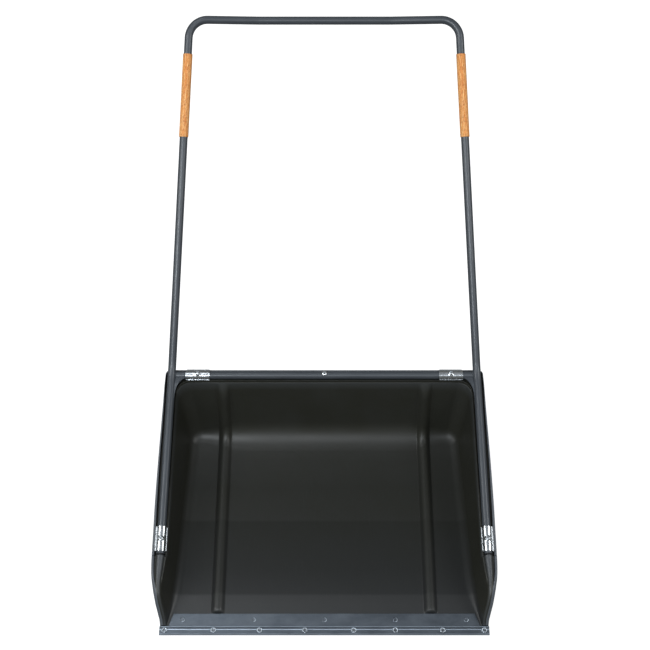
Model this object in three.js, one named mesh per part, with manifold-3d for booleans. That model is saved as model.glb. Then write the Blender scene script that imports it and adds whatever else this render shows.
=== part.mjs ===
// Push scoop for clearing snow: a moulded plastic tub with a two-piece metal
// cutting edge, clamped to a U-shaped tube handle.  Units are millimetres.
// The cutting edge faces -Y, +Z is up and +X is to the right seen from in front.
// The origin is on the ground under the middle of the tub's floor.
// "dist" is a distance measured back from the tip of the cutting edge:
// y = dist - ORIGIN_DIST.  "side" is -1 for left and +1 for right.
import * as THREE from "three";
import { mergeVertices } from "three/addons/utils/BufferGeometryUtils.js";
import Module from "manifold-3d";

const wasm = await Module();
wasm.setup();

// ---------- driving dimensions ----------
const ORIGIN_DIST = 240;
const SIDES = [-1, 1];
const sideName = (side) => (side < 0 ? "left" : "right");

// tub
const FLOOR_T = 4;            // floor and wall thickness
const TUB_FRONT = 20;         // dist of the front edge of the plastic
const TUB_BACK = 487;         // dist where the floor plane meets the back wall plane
const SIDE_FILLET = 22;       // inner fillet, floor to side wall
const FRONT_FILLET = 2.2;     // the same at the front edge
const BACK_FILLET = 48;       // inner bend, floor to back wall
const BASE_CORNER = 42;       // plan radius of the rear corners at floor level
const RIM_BACK_IN = 540;      // dist of the inner face of the rear rim
const RIM_BACK_OUT = 570;     // dist of the outer face of the rear rim
const RIM_CORNER_IN = 33;     // plan radius, top of the inner wall
const RIM_CORNER_OUT = 11;    // plan radius, outer lip
const CHANNEL_IN = 13;        // tube centre to the face of the inner wall
const LEDGE_H = 1.5;          // ledge beside the inner lip, above the channel floor
const LEDGE_EDGE = 0.9;       // top of the inner wall below the ledge
const LIP_IN_H = 7.6;         // inner lip above the channel floor
const LIP_OUT_H = 10;         // outer lip above the channel floor
const CHANNEL_T = 3.5;        // channel floor thickness

// rim line
const RIM_SLOPE = 0.2126;     // fall of the side rims towards the front
const RIM_ANGLE = Math.atan(RIM_SLOPE);
const LEVEL_FROM = 530;       // the rim is level behind this dist
const NOSE_END = 150;         // in front of this dist a closed nose runs down to the tip

// tube frame
const TUBE_R = 9;
const TUBE_WALL = 1.5;
const TUBE_GAP = 0.5;         // tube to channel floor
const TUBE_X = 346;           // leg centre at the cross tube
const TUBE_Z = 160.5;         // tube centre height at the rear rim
const TUBE_TAPER = 0.018;     // the legs spread towards the front
const TUBE_END = 153.4;       // dist of the front ends of the legs
const BEND_START = 536;       // dist where the legs start to bend up
const BEND_R = 110;
const LEG_ANGLE = THREE.MathUtils.degToRad(37);
const LEG_LEN = 792;          // knee to crossbar centre line, seen from the side
const LEG_SPLAY = 0.0558;     // the legs come together towards the crossbar
const CORNER_R = 43;          // crossbar to leg
const BAR_OFFSET = 14;        // set back of the middle of the crossbar
const BAR_KINK = 149;         // half length of the set back part
const BAR_KINK_R = 160;
const CROSS_DIST = 555;       // cross tube
const CROSS_Z = 160.6;
const CROSS_OVERLAP = 5;      // cross tube past the inner side of the leg, before coping
const COPE_GAP = 0.35;        // clearance cut around the tubes
const TUBE_SEG = 16;
const CUTTER_SEG = 24;

// metal edge
const EDGE_HALF = 353.5;
const SHEET_T = 1.5;
const STRIP_T = 2.5;
const STRIP_BACK = 19.2;      // dist of the strip's rear edge
const PLATE_BACK = 47;        // dist of the plate's rear edge
const PLATE_LOW = STRIP_T + 0.15;    // underside of the plate over the strip
const PLATE_HIGH = FLOOR_T + 0.1;    // underside of the plate over the floor

// ribs
const RIB_X = 230;

// fasteners
const SCREW_BORE_R = 3.1;     // through tubes, clamps, washers and nuts
const SIDE_CLAMP_DIST = 184;
const TOP_CLAMP_X = 287;
const RIVET_DIST = 33;
const RIVET_X = [-305, -152.5, 0, 152.5, 305];
const RIVET_BORE_R = 2.8;
const STUD_DIST = 10.2;
const STUD_X = [-343, -238, -139, -42, 63, 152, 254, 343];
const STUD_BORE_R = 3.3;
const CLAMP_LEN = 54;
const CLAMP_GAP = 0.4;        // saddle to tube
const CLAMP_T = 1.6;

// ---------- small helpers ----------
const vec = (x, y, z) => new THREE.Vector3(x, y, z);
const place = (x, dist, z) => vec(x, dist - ORIGIN_DIST, z);
const UP = vec(0, 0, 1);
const lerp = (a, b, t) => a + (b - a) * t;
function smooth(from, to, x) {
  const t = Math.min(1, Math.max(0, (x - from) / (to - from)));
  return t * t * (3 - 2 * t);
}
// straight lines between the rows [x, value], level beyond both ends
function interpolate(rows, x) {
  const i = rows.findIndex(([rowX]) => x <= rowX);
  if (i < 0) return rows[rows.length - 1][1];
  if (i === 0) return rows[0][1];
  const [x0, value0] = rows[i - 1];
  const [x1, value1] = rows[i];
  return lerp(value0, value1, (x - x0) / (x1 - x0));
}

// three.js geometry -> manifold solid
function solid(geometry) {
  const bare = geometry.clone();
  bare.deleteAttribute("normal");
  bare.deleteAttribute("uv");
  const merged = mergeVertices(bare, 1e-4);
  const index = merged.index.array;
  const triangles = [];
  for (let i = 0; i < index.length; i += 3) {
    const [a, b, c] = index.slice(i, i + 3);
    if (a !== b && b !== c && a !== c) triangles.push(a, b, c);
  }
  return new wasm.Manifold(new wasm.Mesh({
    numProp: 3,
    vertProperties: new Float32Array(merged.attributes.position.array),
    triVerts: new Uint32Array(triangles),
  }));
}

// manifold solid -> three.js geometry
function geometryOf(body) {
  const mesh = body.getMesh();
  const geometry = new THREE.BufferGeometry();
  geometry.setAttribute("position", new THREE.Float32BufferAttribute(mesh.vertProperties, 3));
  geometry.setIndex(Array.from(mesh.triVerts));
  geometry.computeVertexNormals();
  return geometry;
}

// indexed geometry, turned inside out if its volume comes out negative
function closedGeometry(points, faces) {
  let volume = 0;
  for (let i = 0; i < faces.length; i += 3) {
    const [a, b, c] = faces.slice(i, i + 3).map((k) => points[k]);
    volume += a.dot(b.clone().cross(c));
  }
  if (volume < 0) {
    for (let i = 0; i < faces.length; i += 3) {
      [faces[i], faces[i + 1]] = [faces[i + 1], faces[i]];
    }
  }
  const coords = points.flatMap((p) => [p.x, p.y, p.z]);
  const geometry = new THREE.BufferGeometry();
  geometry.setAttribute("position", new THREE.Float32BufferAttribute(coords, 3));
  geometry.setIndex(faces);
  return geometry;
}

// faces between neighbouring rings of equal size; spans = faces around each ring
function skinFaces(ringCount, size, spans) {
  const faces = [];
  for (let k = 0; k + 1 < ringCount; k++) {
    for (let i = 0; i < spans; i++) {
      const a = k * size + i;
      const b = k * size + (i + 1) % size;
      faces.push(a, b, a + size, b, b + size, a + size);
    }
  }
  return faces;
}

// triangles over a flat ring of points in space, as indices into the ring
function capTriangles(ring) {
  const origin = ring[0];
  const spokes = ring.map((p) => p.clone().sub(origin));
  const normal = vec(0, 0, 0);
  for (let i = 1; i + 1 < ring.length; i++) normal.add(spokes[i].clone().cross(spokes[i + 1]));
  normal.normalize();
  const axisU = spokes[1].clone().normalize();
  const axisV = normal.clone().cross(axisU);
  const flat = spokes.map((p) => new THREE.Vector2(p.dot(axisU), p.dot(axisV)));
  return THREE.ShapeUtils.triangulateShape(flat, []);
}

// closed solid through rings of equal point count
function loft(rings) {
  const size = rings[0].length;
  const last = (rings.length - 1) * size;
  const faces = skinFaces(rings.length, size, size);
  for (const [a, b, c] of capTriangles(rings[0])) faces.push(c, b, a);
  for (const tri of capTriangles(rings[rings.length - 1])) faces.push(...tri.map((i) => last + i));
  return solid(closedGeometry(rings.flat(), faces));
}

// flat outline of [x, y] pairs pushed out along +Z
function extrude(outline, depth) {
  const shape = new THREE.Shape(outline.map(([x, y]) => new THREE.Vector2(x, y)));
  return new THREE.ExtrudeGeometry(shape, { depth, bevelEnabled: false, steps: 1 });
}

// turns a geometry made around +Y onto the axis of a spot, raised by z along it
function stand(geometry, { at, axis }, z = 0) {
  geometry.rotateX(Math.PI / 2);
  geometry.translate(0, 0, z);
  geometry.applyQuaternion(new THREE.Quaternion().setFromUnitVectors(UP, axis));
  geometry.translate(at.x, at.y, at.z);
  return geometry;
}
function post(spot, { radius, from, to, seg = 12 }) {
  const cylinder = new THREE.CylinderGeometry(radius, radius, to - from, seg, 1);
  return solid(stand(cylinder, spot, (from + to) / 2));
}
// a turned piece from profile points [radius, height along the axis]
function turned(profile, spot, seg) {
  const points = profile.map(([radius, z]) => new THREE.Vector2(radius, z));
  return stand(new THREE.LatheGeometry(points, seg), spot);
}
// cuts every bore at every spot
function drill(body, spots, ...bores) {
  for (const spot of spots) {
    for (const bore of bores) body = body.subtract(post(spot, bore));
  }
  return body;
}

// ---------- lines of the tub, all by dist ----------
const tubeZ = (dist) => TUBE_Z + (Math.min(dist, LEVEL_FROM) - LEVEL_FROM) * RIM_SLOPE;
const tubeX = (dist) => TUBE_X + (CROSS_DIST - Math.min(dist, CROSS_DIST)) * TUBE_TAPER;
// channel floor
const railZ = (dist) => tubeZ(dist) - TUBE_R / Math.cos(RIM_ANGLE) - TUBE_GAP;

// top line of the nose: [dist, z]
const NOSE_TOP = [
  [20, 8.5], [24, 12.5], [30, 21], [37, 33], [45, 45], [55, 57], [67, 67], [80, 73],
  [97, 77.4], [NOSE_END, tubeZ(NOSE_END) + TUBE_R],
];
// outer face: [dist, x]
const OUTER_X = [
  [20, 352.6], [28, 353.2], [35, 355.2], [42, 357.2], [50, 359.8], [58, 361.6],
  [66, 363.3], [75, 365.2], [86, 367.2], [98, 369.4], [116, 371.3], [138, 372],
  [165, 371.8], [200, 371.3], [240, 371], [300, 369.7], [350, 368.2], [400, 366.4],
  [440, 364.8], [490, 363], [570, 360.6],
];
// face of the inner wall along the nose: [dist, x]
const NOSE_INNER_X = [
  [20, 338.6], [28, 339.2], [46, 343.8], [58, 347], [67, 348.3], [85, 348.2],
  [100, 346.6], [130, 342.4], [NOSE_END, tubeX(NOSE_END) - CHANNEL_IN],
];
// where the side wall plane meets the floor plane: [dist, x]
const BASE_X = [
  [20, 337.6], [28, 336.4], [43, 333], [66, 328.6], [98, 324.8], [150, 321.8],
  [200, 319.4], [300, 315.4], [480, 308],
];
const noseTop = (dist) => interpolate(NOSE_TOP, dist);
const outerX = (dist) => interpolate(OUTER_X, dist);
const baseX = (dist) => interpolate(BASE_X, dist);
function innerX(dist) {
  return dist >= NOSE_END ? tubeX(dist) - CHANNEL_IN : interpolate(NOSE_INNER_X, dist);
}
const sideFillet = (dist) => lerp(FRONT_FILLET, SIDE_FILLET, smooth(18, 110, dist));
// the outer lip is broad along the sides and narrow behind the cross tube
const lipWidth = (dist) => lerp(7, 4.9, smooth(470, 540, dist));
// underside of the rim, rising from just above the ground at the front
const UNDER_FRONT_Z = 1.2;
function underZ(dist) {
  return lerp(UNDER_FRONT_Z, railZ(dist) - CHANNEL_T, smooth(22, 100, dist));
}

// ---------- tub section at one station ----------
const FILLET_STEPS = 5;
const RIM_MIN_T = 1.2;        // least height from rim underside to top of the inner wall
const FILLET_MAX_SHARE = 0.85;    // of the wall's slant height taken up by the fillet
// ledge and inner lip: [distance out from the inner face, height above the channel floor]
const INNER_LIP = [
  [0.7, LEDGE_H], [1.6, LEDGE_H], [1.9, LIP_IN_H - 0.8], [2.5, LIP_IN_H],
  [3.0, LIP_IN_H], [3.3, LIP_IN_H - 0.8], [3.9, 0],
];
// groove and lip of the nose: [distance in from the outer face, drop below the top line]
const NOSE_LIP = [[7, 15], [6.2, 15], [5.8, 10.3], [4.6, 8.8], [1.5, 8.7], [0, 9.9]];
const NOSE_LIP_W = 7.3;       // nose width left beside the round crown
const CROWN_STEPS = 7;
// front band of the nose: its edges drop below the middle by the least of these
const CROWN_MAX = 6;
const CROWN_SHARE = 0.3;      // of the band's width
const CROWN_EDGE_Z = 5.3;     // lowest edge of the band
const CROWN_POWER = 2.6;      // how square the crown is

// ledge, inner lip, channel floor and outer lip
function channelPoints(rimPoint, inner, outer, width) {
  const lip = lipWidth(outer.y);
  // [distance out from the outer face, height above the channel floor]
  const outerLip = [
    [-lip, 0], [0.8 - lip, 1], [1.2 - lip, LIP_OUT_H - 1.6], [2.4 - lip, LIP_OUT_H - 0.1],
    [-1.5, LIP_OUT_H], [0, LIP_OUT_H - 1.2],
  ];
  return [
    ...INNER_LIP.map(([out, height]) => rimPoint(out, railZ(inner.y) + height)),
    ...outerLip.map(([out, height]) => rimPoint(width + out, railZ(outer.y) + height)),
  ];
}

// drop of the nose surface below its top line: one crowned band at the front,
// turning into the separate drop of a round crown beside a lip further back
function noseDropper(inner, outer, width) {
  const crown = Math.min(CROWN_MAX, CROWN_SHARE * width, noseTop(inner.y) - CROWN_EDGE_Z);
  const apart = smooth(72, 128, outer.y);
  return (out, separateDrop) => {
    const bandDrop = crown * Math.pow(Math.abs(2 * out / width - 1), CROWN_POWER);
    return lerp(bandDrop, separateDrop, apart);
  };
}

// crown, groove and lip of the nose
function nosePoints(rimPoint, inner, outer, width, noseDrop) {
  const at = (out, drop) => {
    const top = lerp(noseTop(inner.y), noseTop(outer.y), out / width);
    return rimPoint(out, top - noseDrop(out, drop));
  };
  const points = [];
  for (let i = 1; i <= CROWN_STEPS; i++) {
    const angle = Math.PI * (1 - i / CROWN_STEPS);
    const out = (width - NOSE_LIP_W) * (1 + Math.cos(angle)) / 2;
    points.push(at(out, TUBE_R * (1 - Math.sin(angle))));
  }
  return [...points, ...NOSE_LIP.map(([inset, drop]) => at(width - inset, drop))];
}

// Plan points, with y as dist: base is where wall plane meets floor plane, inner
// is on the face of the inner wall, outer on the outer face.  Runs from the floor
// over the rim and back underneath.
function section({ base, inner, outer, fillet, isOpen }) {
  const across = outer.clone().sub(inner);
  const width = across.length();
  across.normalize();
  const outward = inner.clone().sub(base);
  const wallRun = outward.length();
  outward.normalize();
  const wallPoint = (out, z) => base.clone().addScaledVector(outward, out).setZ(z);
  const rimPoint = (out, z) => inner.clone().addScaledVector(across, out).setZ(z);

  const noseDrop = noseDropper(inner, outer, width);
  const wallTop = isOpen
    ? railZ(inner.y) + LEDGE_H - LEDGE_EDGE
    : noseTop(inner.y) - noseDrop(0, TUBE_R);
  const rise = wallTop - FLOOR_T;
  const wallAngle = Math.atan2(rise, wallRun);
  const halfTan = Math.tan(wallAngle / 2);
  const radius = Math.min(fillet, FILLET_MAX_SHARE * Math.hypot(rise, wallRun) / halfTan);
  const centreOut = -radius * halfTan;
  const centreZ = FLOOR_T + radius;
  const filletPoint = (r, i) => {
    const angle = wallAngle * i / FILLET_STEPS;
    return wallPoint(centreOut + r * Math.sin(angle), centreZ - r * Math.cos(angle));
  };

  const points = [];
  for (let i = 0; i <= FILLET_STEPS; i++) points.push(filletPoint(radius, i));
  points.push(inner.clone().setZ(wallTop));
  points.push(...(isOpen
    ? channelPoints(rimPoint, inner, outer, width)
    : nosePoints(rimPoint, inner, outer, width, noseDrop)));
  points.push(outer.clone().setZ(underZ(outer.y)));

  // where the outside of the wall meets the underside of the rim
  const outRadius = radius + FLOOR_T;
  const filletEndOut = centreOut + outRadius * Math.sin(wallAngle);
  const filletEndZ = centreZ - outRadius * Math.cos(wallAngle);
  const meetZ = Math.max(filletEndZ + 0.3, Math.min(underZ(inner.y), wallTop - RIM_MIN_T));
  const slant = (meetZ - filletEndZ) / Math.sin(wallAngle);
  points.push(wallPoint(filletEndOut + Math.cos(wallAngle) * slant, meetZ));
  for (let i = FILLET_STEPS; i >= 0; i--) points.push(filletPoint(outRadius, i));
  return points;
}

// ---------- tub shell ----------
const CORNER_STEPS = 7;
const BASE_STRAIGHT = TUB_BACK - BASE_CORNER;         // where the rear corners begin
const INNER_STRAIGHT = RIM_BACK_IN - RIM_CORNER_IN;
const OUTER_STRAIGHT = RIM_BACK_OUT - RIM_CORNER_OUT;
// dist of the stations along the outer lip
const SIDE_STATIONS = [
  20, 24, 29, 35, 42, 50, 58, 67, 78, 90, 104, 118, 132, NOSE_END - 0.1, NOSE_END + 0.1,
  175, 250, 350, 450, OUTER_STRAIGHT,
];

function sideSection(outerDist) {
  const share = (outerDist - TUB_FRONT) / (OUTER_STRAIGHT - TUB_FRONT);
  // the three lines keep level near the front and fan out towards the rear corner
  const fan = (end) => lerp(outerDist, lerp(TUB_FRONT, end, share), smooth(80, 400, outerDist));
  const baseDist = fan(BASE_STRAIGHT);
  const innerDist = fan(INNER_STRAIGHT);
  return section({
    base: vec(baseX(baseDist), baseDist, 0),
    inner: vec(innerX(innerDist), innerDist, 0),
    outer: vec(outerX(outerDist), outerDist, 0),
    fillet: sideFillet(baseDist),
    isOpen: outerDist >= NOSE_END,
  });
}

function cornerSection(share) {
  const angle = (Math.PI / 2) * share;
  const arc = (x, dist, radius) =>
    vec(x - radius + radius * Math.cos(angle), dist + radius * Math.sin(angle), 0);
  return section({
    base: arc(baseX(BASE_STRAIGHT), BASE_STRAIGHT, BASE_CORNER),
    inner: arc(innerX(INNER_STRAIGHT), INNER_STRAIGHT, RIM_CORNER_IN),
    outer: arc(outerX(OUTER_STRAIGHT), OUTER_STRAIGHT, RIM_CORNER_OUT),
    fillet: lerp(SIDE_FILLET, BACK_FILLET, smooth(0, 1, share)),
    isOpen: true,
  });
}

// from the right front tip, round the back, to the left front tip
function tubSections() {
  const half = SIDE_STATIONS.map(sideSection);
  for (let k = 1; k <= CORNER_STEPS; k++) half.push(cornerSection(k / CORNER_STEPS));
  const mirrored = half.map((points) => points.map((p) => vec(-p.x, p.y, p.z)));
  return [...half, ...mirrored.reverse()];
}

// end face of the shell; its edges run along the section's own direction or against it
function endFaces(points, start, runsAlong) {
  const flat = points.map((p) => new THREE.Vector2(p.x, p.z));
  const triangles = THREE.ShapeUtils.triangulateShape(flat, []);
  const isAlong = triangles.some((tri) => tri.some((v, e) => v === 3 && tri[(e + 1) % 3] === 4));
  return triangles.flatMap((tri) => {
    const face = tri.map((i) => start + i);
    return isAlong === runsAlong ? face : face.reverse();
  });
}

function tubShell() {
  const sections = tubSections();
  const count = sections.length;
  const size = sections[0].length;
  const under = size - 1;                 // last point of a section, under the floor
  const last = (count - 1) * size;
  const faces = skinFaces(count, size, size - 1);
  faces.push(...endFaces(sections[0], 0, false));
  faces.push(...endFaces(sections[count - 1], last, true));
  // floor, top and underside: rows across from each station to its mirror
  for (let k = 0; k < count / 2 - 1; k++) {
    const a = k * size;
    const b = a + size;
    const mirrorA = last - a;
    const mirrorB = last - b;
    faces.push(a, b, mirrorB, a, mirrorB, mirrorA);
    faces.push(a + under, mirrorB + under, b + under, a + under, mirrorA + under, mirrorB + under);
  }
  // front edge of the floor between the two tips
  faces.push(0, last, last + under, 0, last + under, under);
  const points = sections.flat().map((p) => place(p.x, p.y, p.z));
  return solid(closedGeometry(points, faces));
}

// ---------- ribs: raised on the inside, hollow underneath ----------
// front end along the floor: [dist, share of the full height]
const RIB_FRONT = [[48.6, 0.1], [50.5, 0.7], [54.5, 0.94], [64, 1], [260, 1]];
// top end up the back wall: [distance below the wall's top, share of the full height]
const RIB_TOP = [[30, 1], [20, 0.85], [10, 0.6], [1.5, 0.32]];
const RIB_BEND_STEPS = 5;
// profiles across the rib: [x from its middle, height off the inner surface]
const RIB_OUTSIDE = [
  [15.6, -1.5], [15.6, 0.01], [13.6, 1.5], [11, 4.4], [8, 7.2], [4.6, 9.1], [0, 9.8],
  [-4.6, 9.1], [-8, 7.2], [-11, 4.4], [-13.6, 1.5], [-15.6, 0.01], [-15.6, -1.5],
];
const RIB_HOLLOW = [
  [9.2, -7], [8.0, 0.01], [7.0, 2.2], [4.8, 4.6], [0, 5.8],
  [-4.8, 4.6], [-7.0, 2.2], [-8.0, 0.01], [-9.2, -7],
];

// stations on the inner surface: place, angle of the surface, share of the height
function ribPath() {
  const wallRise = railZ(RIM_BACK_IN) + LEDGE_H - LEDGE_EDGE - FLOOR_T;
  const wallRun = RIM_BACK_IN - TUB_BACK;
  const wallAngle = Math.atan2(wallRise, wallRun);
  const wallLen = Math.hypot(wallRun, wallRise);
  const bendStart = TUB_BACK - BACK_FILLET * Math.tan(wallAngle / 2);
  const path = RIB_FRONT.map(([dist, share]) => ({ dist, z: FLOOR_T, angle: 0, share }));
  for (let i = 0; i <= RIB_BEND_STEPS; i++) {
    const angle = wallAngle * i / RIB_BEND_STEPS;
    const dist = bendStart + BACK_FILLET * Math.sin(angle);
    path.push({ dist, z: FLOOR_T + BACK_FILLET * (1 - Math.cos(angle)), angle, share: 1 });
  }
  for (const [below, share] of RIB_TOP) {
    const along = wallLen - below;
    const dist = TUB_BACK + Math.cos(wallAngle) * along;
    path.push({ dist, z: FLOOR_T + Math.sin(wallAngle) * along, angle: wallAngle, share });
  }
  return path;
}

function ribSolid(middleX, path, profile) {
  return loft(path.map(({ dist, z, angle, share }) => profile.map(([x, height]) => {
    const off = height < 0 ? height : height * share;
    return place(middleX + x, dist - Math.sin(angle) * off, z + Math.cos(angle) * off);
  })));
}

// ---------- fastener spots ----------
// inward: square to the tube, towards the inside of the tub
function sideSpot(side) {
  const axis = vec(0, -Math.sin(RIM_ANGLE), Math.cos(RIM_ANGLE));
  const legRun = vec(-side * TUBE_TAPER, 1, RIM_SLOPE).normalize();
  return {
    name: `side_${sideName(side)}`,
    at: place(side * tubeX(SIDE_CLAMP_DIST), SIDE_CLAMP_DIST, tubeZ(SIDE_CLAMP_DIST)),
    axis,
    inward: legRun.cross(axis).multiplyScalar(-side).normalize(),
    washerGap: 0.2,
  };
}
const topSpot = (side) => ({
  name: `top_${sideName(side)}`,
  at: place(side * TOP_CLAMP_X, CROSS_DIST, CROSS_Z),
  axis: UP,
  inward: vec(0, -1, 0),
  washerGap: 0.4,
});
const sideSpots = SIDES.map(sideSpot);
const topSpots = SIDES.map(topSpot);
const centreSpot = { at: place(0, CROSS_DIST, CROSS_Z), axis: UP, washerGap: 0.4 };
const groundSpots = (xs, dist) => xs.map((x) => ({ at: place(x, dist, 0), axis: UP }));
const rivetSpots = groundSpots(RIVET_X, RIVET_DIST);
const studSpots = groundSpots(STUD_X, STUD_DIST);

// ---------- materials ----------
const material = (settings) => new THREE.MeshStandardMaterial(settings);
const plastic = material({ color: 0x24262a, roughness: 0.55, metalness: 0.0 });
const graphite = material({ color: 0x49525c, roughness: 0.38, metalness: 0.6 });
const zinc = material({ color: 0xc9ced3, roughness: 0.28, metalness: 0.95 });
const edgeSteel = material({ color: 0x5f6873, roughness: 0.42, metalness: 0.85 });
const wearSteel = material({ color: 0x78818b, roughness: 0.38, metalness: 0.9 });
const orange = material({ color: 0xe0914c, roughness: 0.75, metalness: 0.0 });
const rubber = material({ color: 0x15161a, roughness: 0.85, metalness: 0.0 });

// ---------- tub ----------
function tubGeometry() {
  let tub = tubShell();
  const path = ribPath();
  const hollowPath = path.slice(3, -3);      // the full-height part only
  for (const side of SIDES) tub = tub.add(ribSolid(side * RIB_X, path, RIB_OUTSIDE));
  for (const side of SIDES) tub = tub.subtract(ribSolid(side * RIB_X, hollowPath, RIB_HOLLOW));
  const screwSpots = [...sideSpots, ...topSpots, centreSpot];
  tub = drill(tub, screwSpots, { radius: 3.2, from: -24, to: 4 });
  tub = drill(tub, rivetSpots,
    { radius: RIVET_BORE_R, from: -1, to: 6 },
    { radius: 5.6, from: -1, to: 1.6 });
  return geometryOf(tub);
}

// ---------- metal edge ----------
// profile [dist, z] pushed out along X to both sides
function alongX(profile, half) {
  const geometry = extrude(profile.map(([dist, z]) => [dist - ORIGIN_DIST, z]), 2 * half);
  // shape axes (x, y, depth) -> (Y, Z, X)
  geometry.applyMatrix4(new THREE.Matrix4().makeBasis(vec(0, 1, 0), UP, vec(1, 0, 0)));
  geometry.translate(-half, 0, 0);
  return solid(geometry);
}

// cuts the rear part's ends to a slant, to fit between the side walls
function plateEndCutter(side) {
  const outline = [
    [349, TUB_FRONT - 1], [370, TUB_FRONT - 1], [370, 60], [322, 60],
    [baseX(PLATE_BACK) - 7.5, PLATE_BACK], [baseX(38) - 6.2, 38],
    [baseX(29) - 5, 29], [baseX(TUB_FRONT) - 4, 19.4],
  ];
  return solid(extrude(outline.map(([x, dist]) => [side * x, dist - ORIGIN_DIST]), 12));
}

function edgePlateGeometry() {
  const lowTop = PLATE_LOW + SHEET_T;
  const highTop = PLATE_HIGH + SHEET_T;
  // [dist, z]
  let plate = alongX([
    [1.8, PLATE_LOW], [17.3, PLATE_LOW], [18.8, PLATE_HIGH], [PLATE_BACK, PLATE_HIGH],
    [PLATE_BACK, highTop - 0.4], [PLATE_BACK - 0.4, highTop],
    [18.2, highTop], [16.8, lowTop], [2.4, lowTop], [1.8, lowTop - 0.5],
  ], EDGE_HALF);
  for (const side of SIDES) plate = plate.subtract(plateEndCutter(side));
  plate = drill(plate, rivetSpots, { radius: RIVET_BORE_R, from: 2, to: 8 });
  plate = drill(plate, studSpots, { radius: STUD_BORE_R, from: 1, to: 8 });
  return geometryOf(plate);
}

function wearStripGeometry() {
  // [dist, z]
  const profile = [
    [0, 0.5], [0.4, 0], [STRIP_BACK, 0], [STRIP_BACK, STRIP_T], [1.5, STRIP_T], [0, 1.1],
  ];
  const strip = drill(alongX(profile, EDGE_HALF + 0.5), studSpots,
    { radius: STUD_BORE_R, from: -1, to: 4 },
    { radius: 5.2, from: -1, to: 1.1 });
  return geometryOf(strip);
}

const RIVET_SEG = 10;
function edgeRivetGeometry(spot) {
  const top = PLATE_HIGH + SHEET_T;
  return turned([
    [0, 0.3], [5.2, 0.3], [5.2, 1.3], [2.4, 1.3], [2.4, top + 0.1],
    [5.4, top + 0.1], [5.0, top + 0.6], [3, top + 0.95], [0, top + 1.05],
  ], spot, RIVET_SEG);
}
// its top is dished in the middle
function wearRivetGeometry(spot) {
  const top = PLATE_LOW + SHEET_T;
  return turned([
    [0, 0.2], [4.9, 0.2], [4.9, 0.8], [2.9, 0.8], [2.9, top + 0.1], [6.3, top + 0.1],
    [6.1, top + 1.2], [5.2, top + 2], [3.6, top + 1.7], [2.7, top + 0.5], [0, top + 0.4],
  ], spot, RIVET_SEG);
}

// ---------- tube paths ----------
// a path through given stations, one step per station
class Stations extends THREE.Curve {
  constructor({ points, tangents }) {
    super();
    this.points = points;
    this.tangents = tangents;
  }
  sample(list, u) {
    const x = u * (list.length - 1);
    const i = Math.min(Math.floor(x + 1e-9), list.length - 2);
    return list[i].clone().lerp(list[i + 1], Math.max(0, x - i));
  }
  getPointAt(u) {
    return this.sample(this.points, u);
  }
  getTangentAt(u) {
    return this.sample(this.tangents, u).normalize();
  }
}

function circle(radius, seg) {
  return Array.from({ length: seg }, (_, i) => {
    const angle = 2 * Math.PI * i / seg;
    return new THREE.Vector2(radius * Math.cos(angle), radius * Math.sin(angle));
  });
}
function sweep(path, shape) {
  return solid(new THREE.ExtrudeGeometry(shape, {
    steps: path.points.length - 1,
    extrudePath: new Stations(path),
    bevelEnabled: false,
    curveSegments: 1,
  }));
}
function tube(path) {
  const shape = new THREE.Shape(circle(TUBE_R, TUBE_SEG));
  shape.holes.push(new THREE.Path(circle(TUBE_R - TUBE_WALL, TUBE_SEG).reverse()));
  return sweep(path, shape);
}
const tubeCutter = (path) => sweep(path, new THREE.Shape(circle(TUBE_R + COPE_GAP, CUTTER_SEG)));

// polyline with rounded corners -> stations; inner corners carry radius and steps
function roundedPath(corners) {
  const direction = (i) => corners[i + 1].at.clone().sub(corners[i].at).normalize();
  const last = corners.length - 1;
  const points = [corners[0].at];
  const tangents = [direction(0)];
  for (let i = 1; i < last; i++) {
    const { at, radius, steps } = corners[i];
    const into = direction(i - 1);
    const outOf = direction(i);
    const turn = Math.acos(Math.min(1, Math.max(-1, into.dot(outOf))));
    const sideways = outOf.clone().addScaledVector(into, -into.dot(outOf)).normalize();
    const start = at.clone().addScaledVector(into, -radius * Math.tan(turn / 2));
    for (let j = 0; j <= steps; j++) {
      const angle = turn * j / steps;
      points.push(start.clone()
        .addScaledVector(into, radius * Math.sin(angle))
        .addScaledVector(sideways, radius * (1 - Math.cos(angle))));
      tangents.push(into.clone().multiplyScalar(Math.cos(angle))
        .addScaledVector(sideways, Math.sin(angle)).normalize());
    }
  }
  points.push(corners[last].at);
  tangents.push(direction(last - 1));
  return { points, tangents };
}

// ---------- tube frame ----------
const KNEE_DIST = BEND_START
  + BEND_R * Math.tan((LEG_ANGLE - RIM_ANGLE) / 2) * Math.cos(RIM_ANGLE);
function legDirection(side) {
  return vec(-side * LEG_SPLAY, Math.cos(LEG_ANGLE), Math.sin(LEG_ANGLE)).normalize();
}
const footAt = (side) => place(side * tubeX(TUBE_END), TUBE_END, tubeZ(TUBE_END));
function kneeAt(side) {
  const x = TUBE_X + (CROSS_DIST - KNEE_DIST) * TUBE_TAPER;
  return place(side * x, KNEE_DIST, TUBE_Z + (KNEE_DIST - LEVEL_FROM) * RIM_SLOPE);
}
function cornerAt(side) {
  const direction = legDirection(side);
  return kneeAt(side).addScaledVector(direction, LEG_LEN * Math.cos(LEG_ANGLE) / direction.y);
}
const footCorner = (side) => ({ at: footAt(side) });
const kneeCorner = (side) => ({ at: kneeAt(side), radius: BEND_R, steps: 4 });

function legCutter(side) {
  return tubeCutter(roundedPath([footCorner(side), kneeCorner(side), { at: cornerAt(side) }]));
}
function crossPath(halfLen) {
  return roundedPath([-halfLen, halfLen].map((x) => ({ at: place(x, CROSS_DIST, CROSS_Z) })));
}

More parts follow.
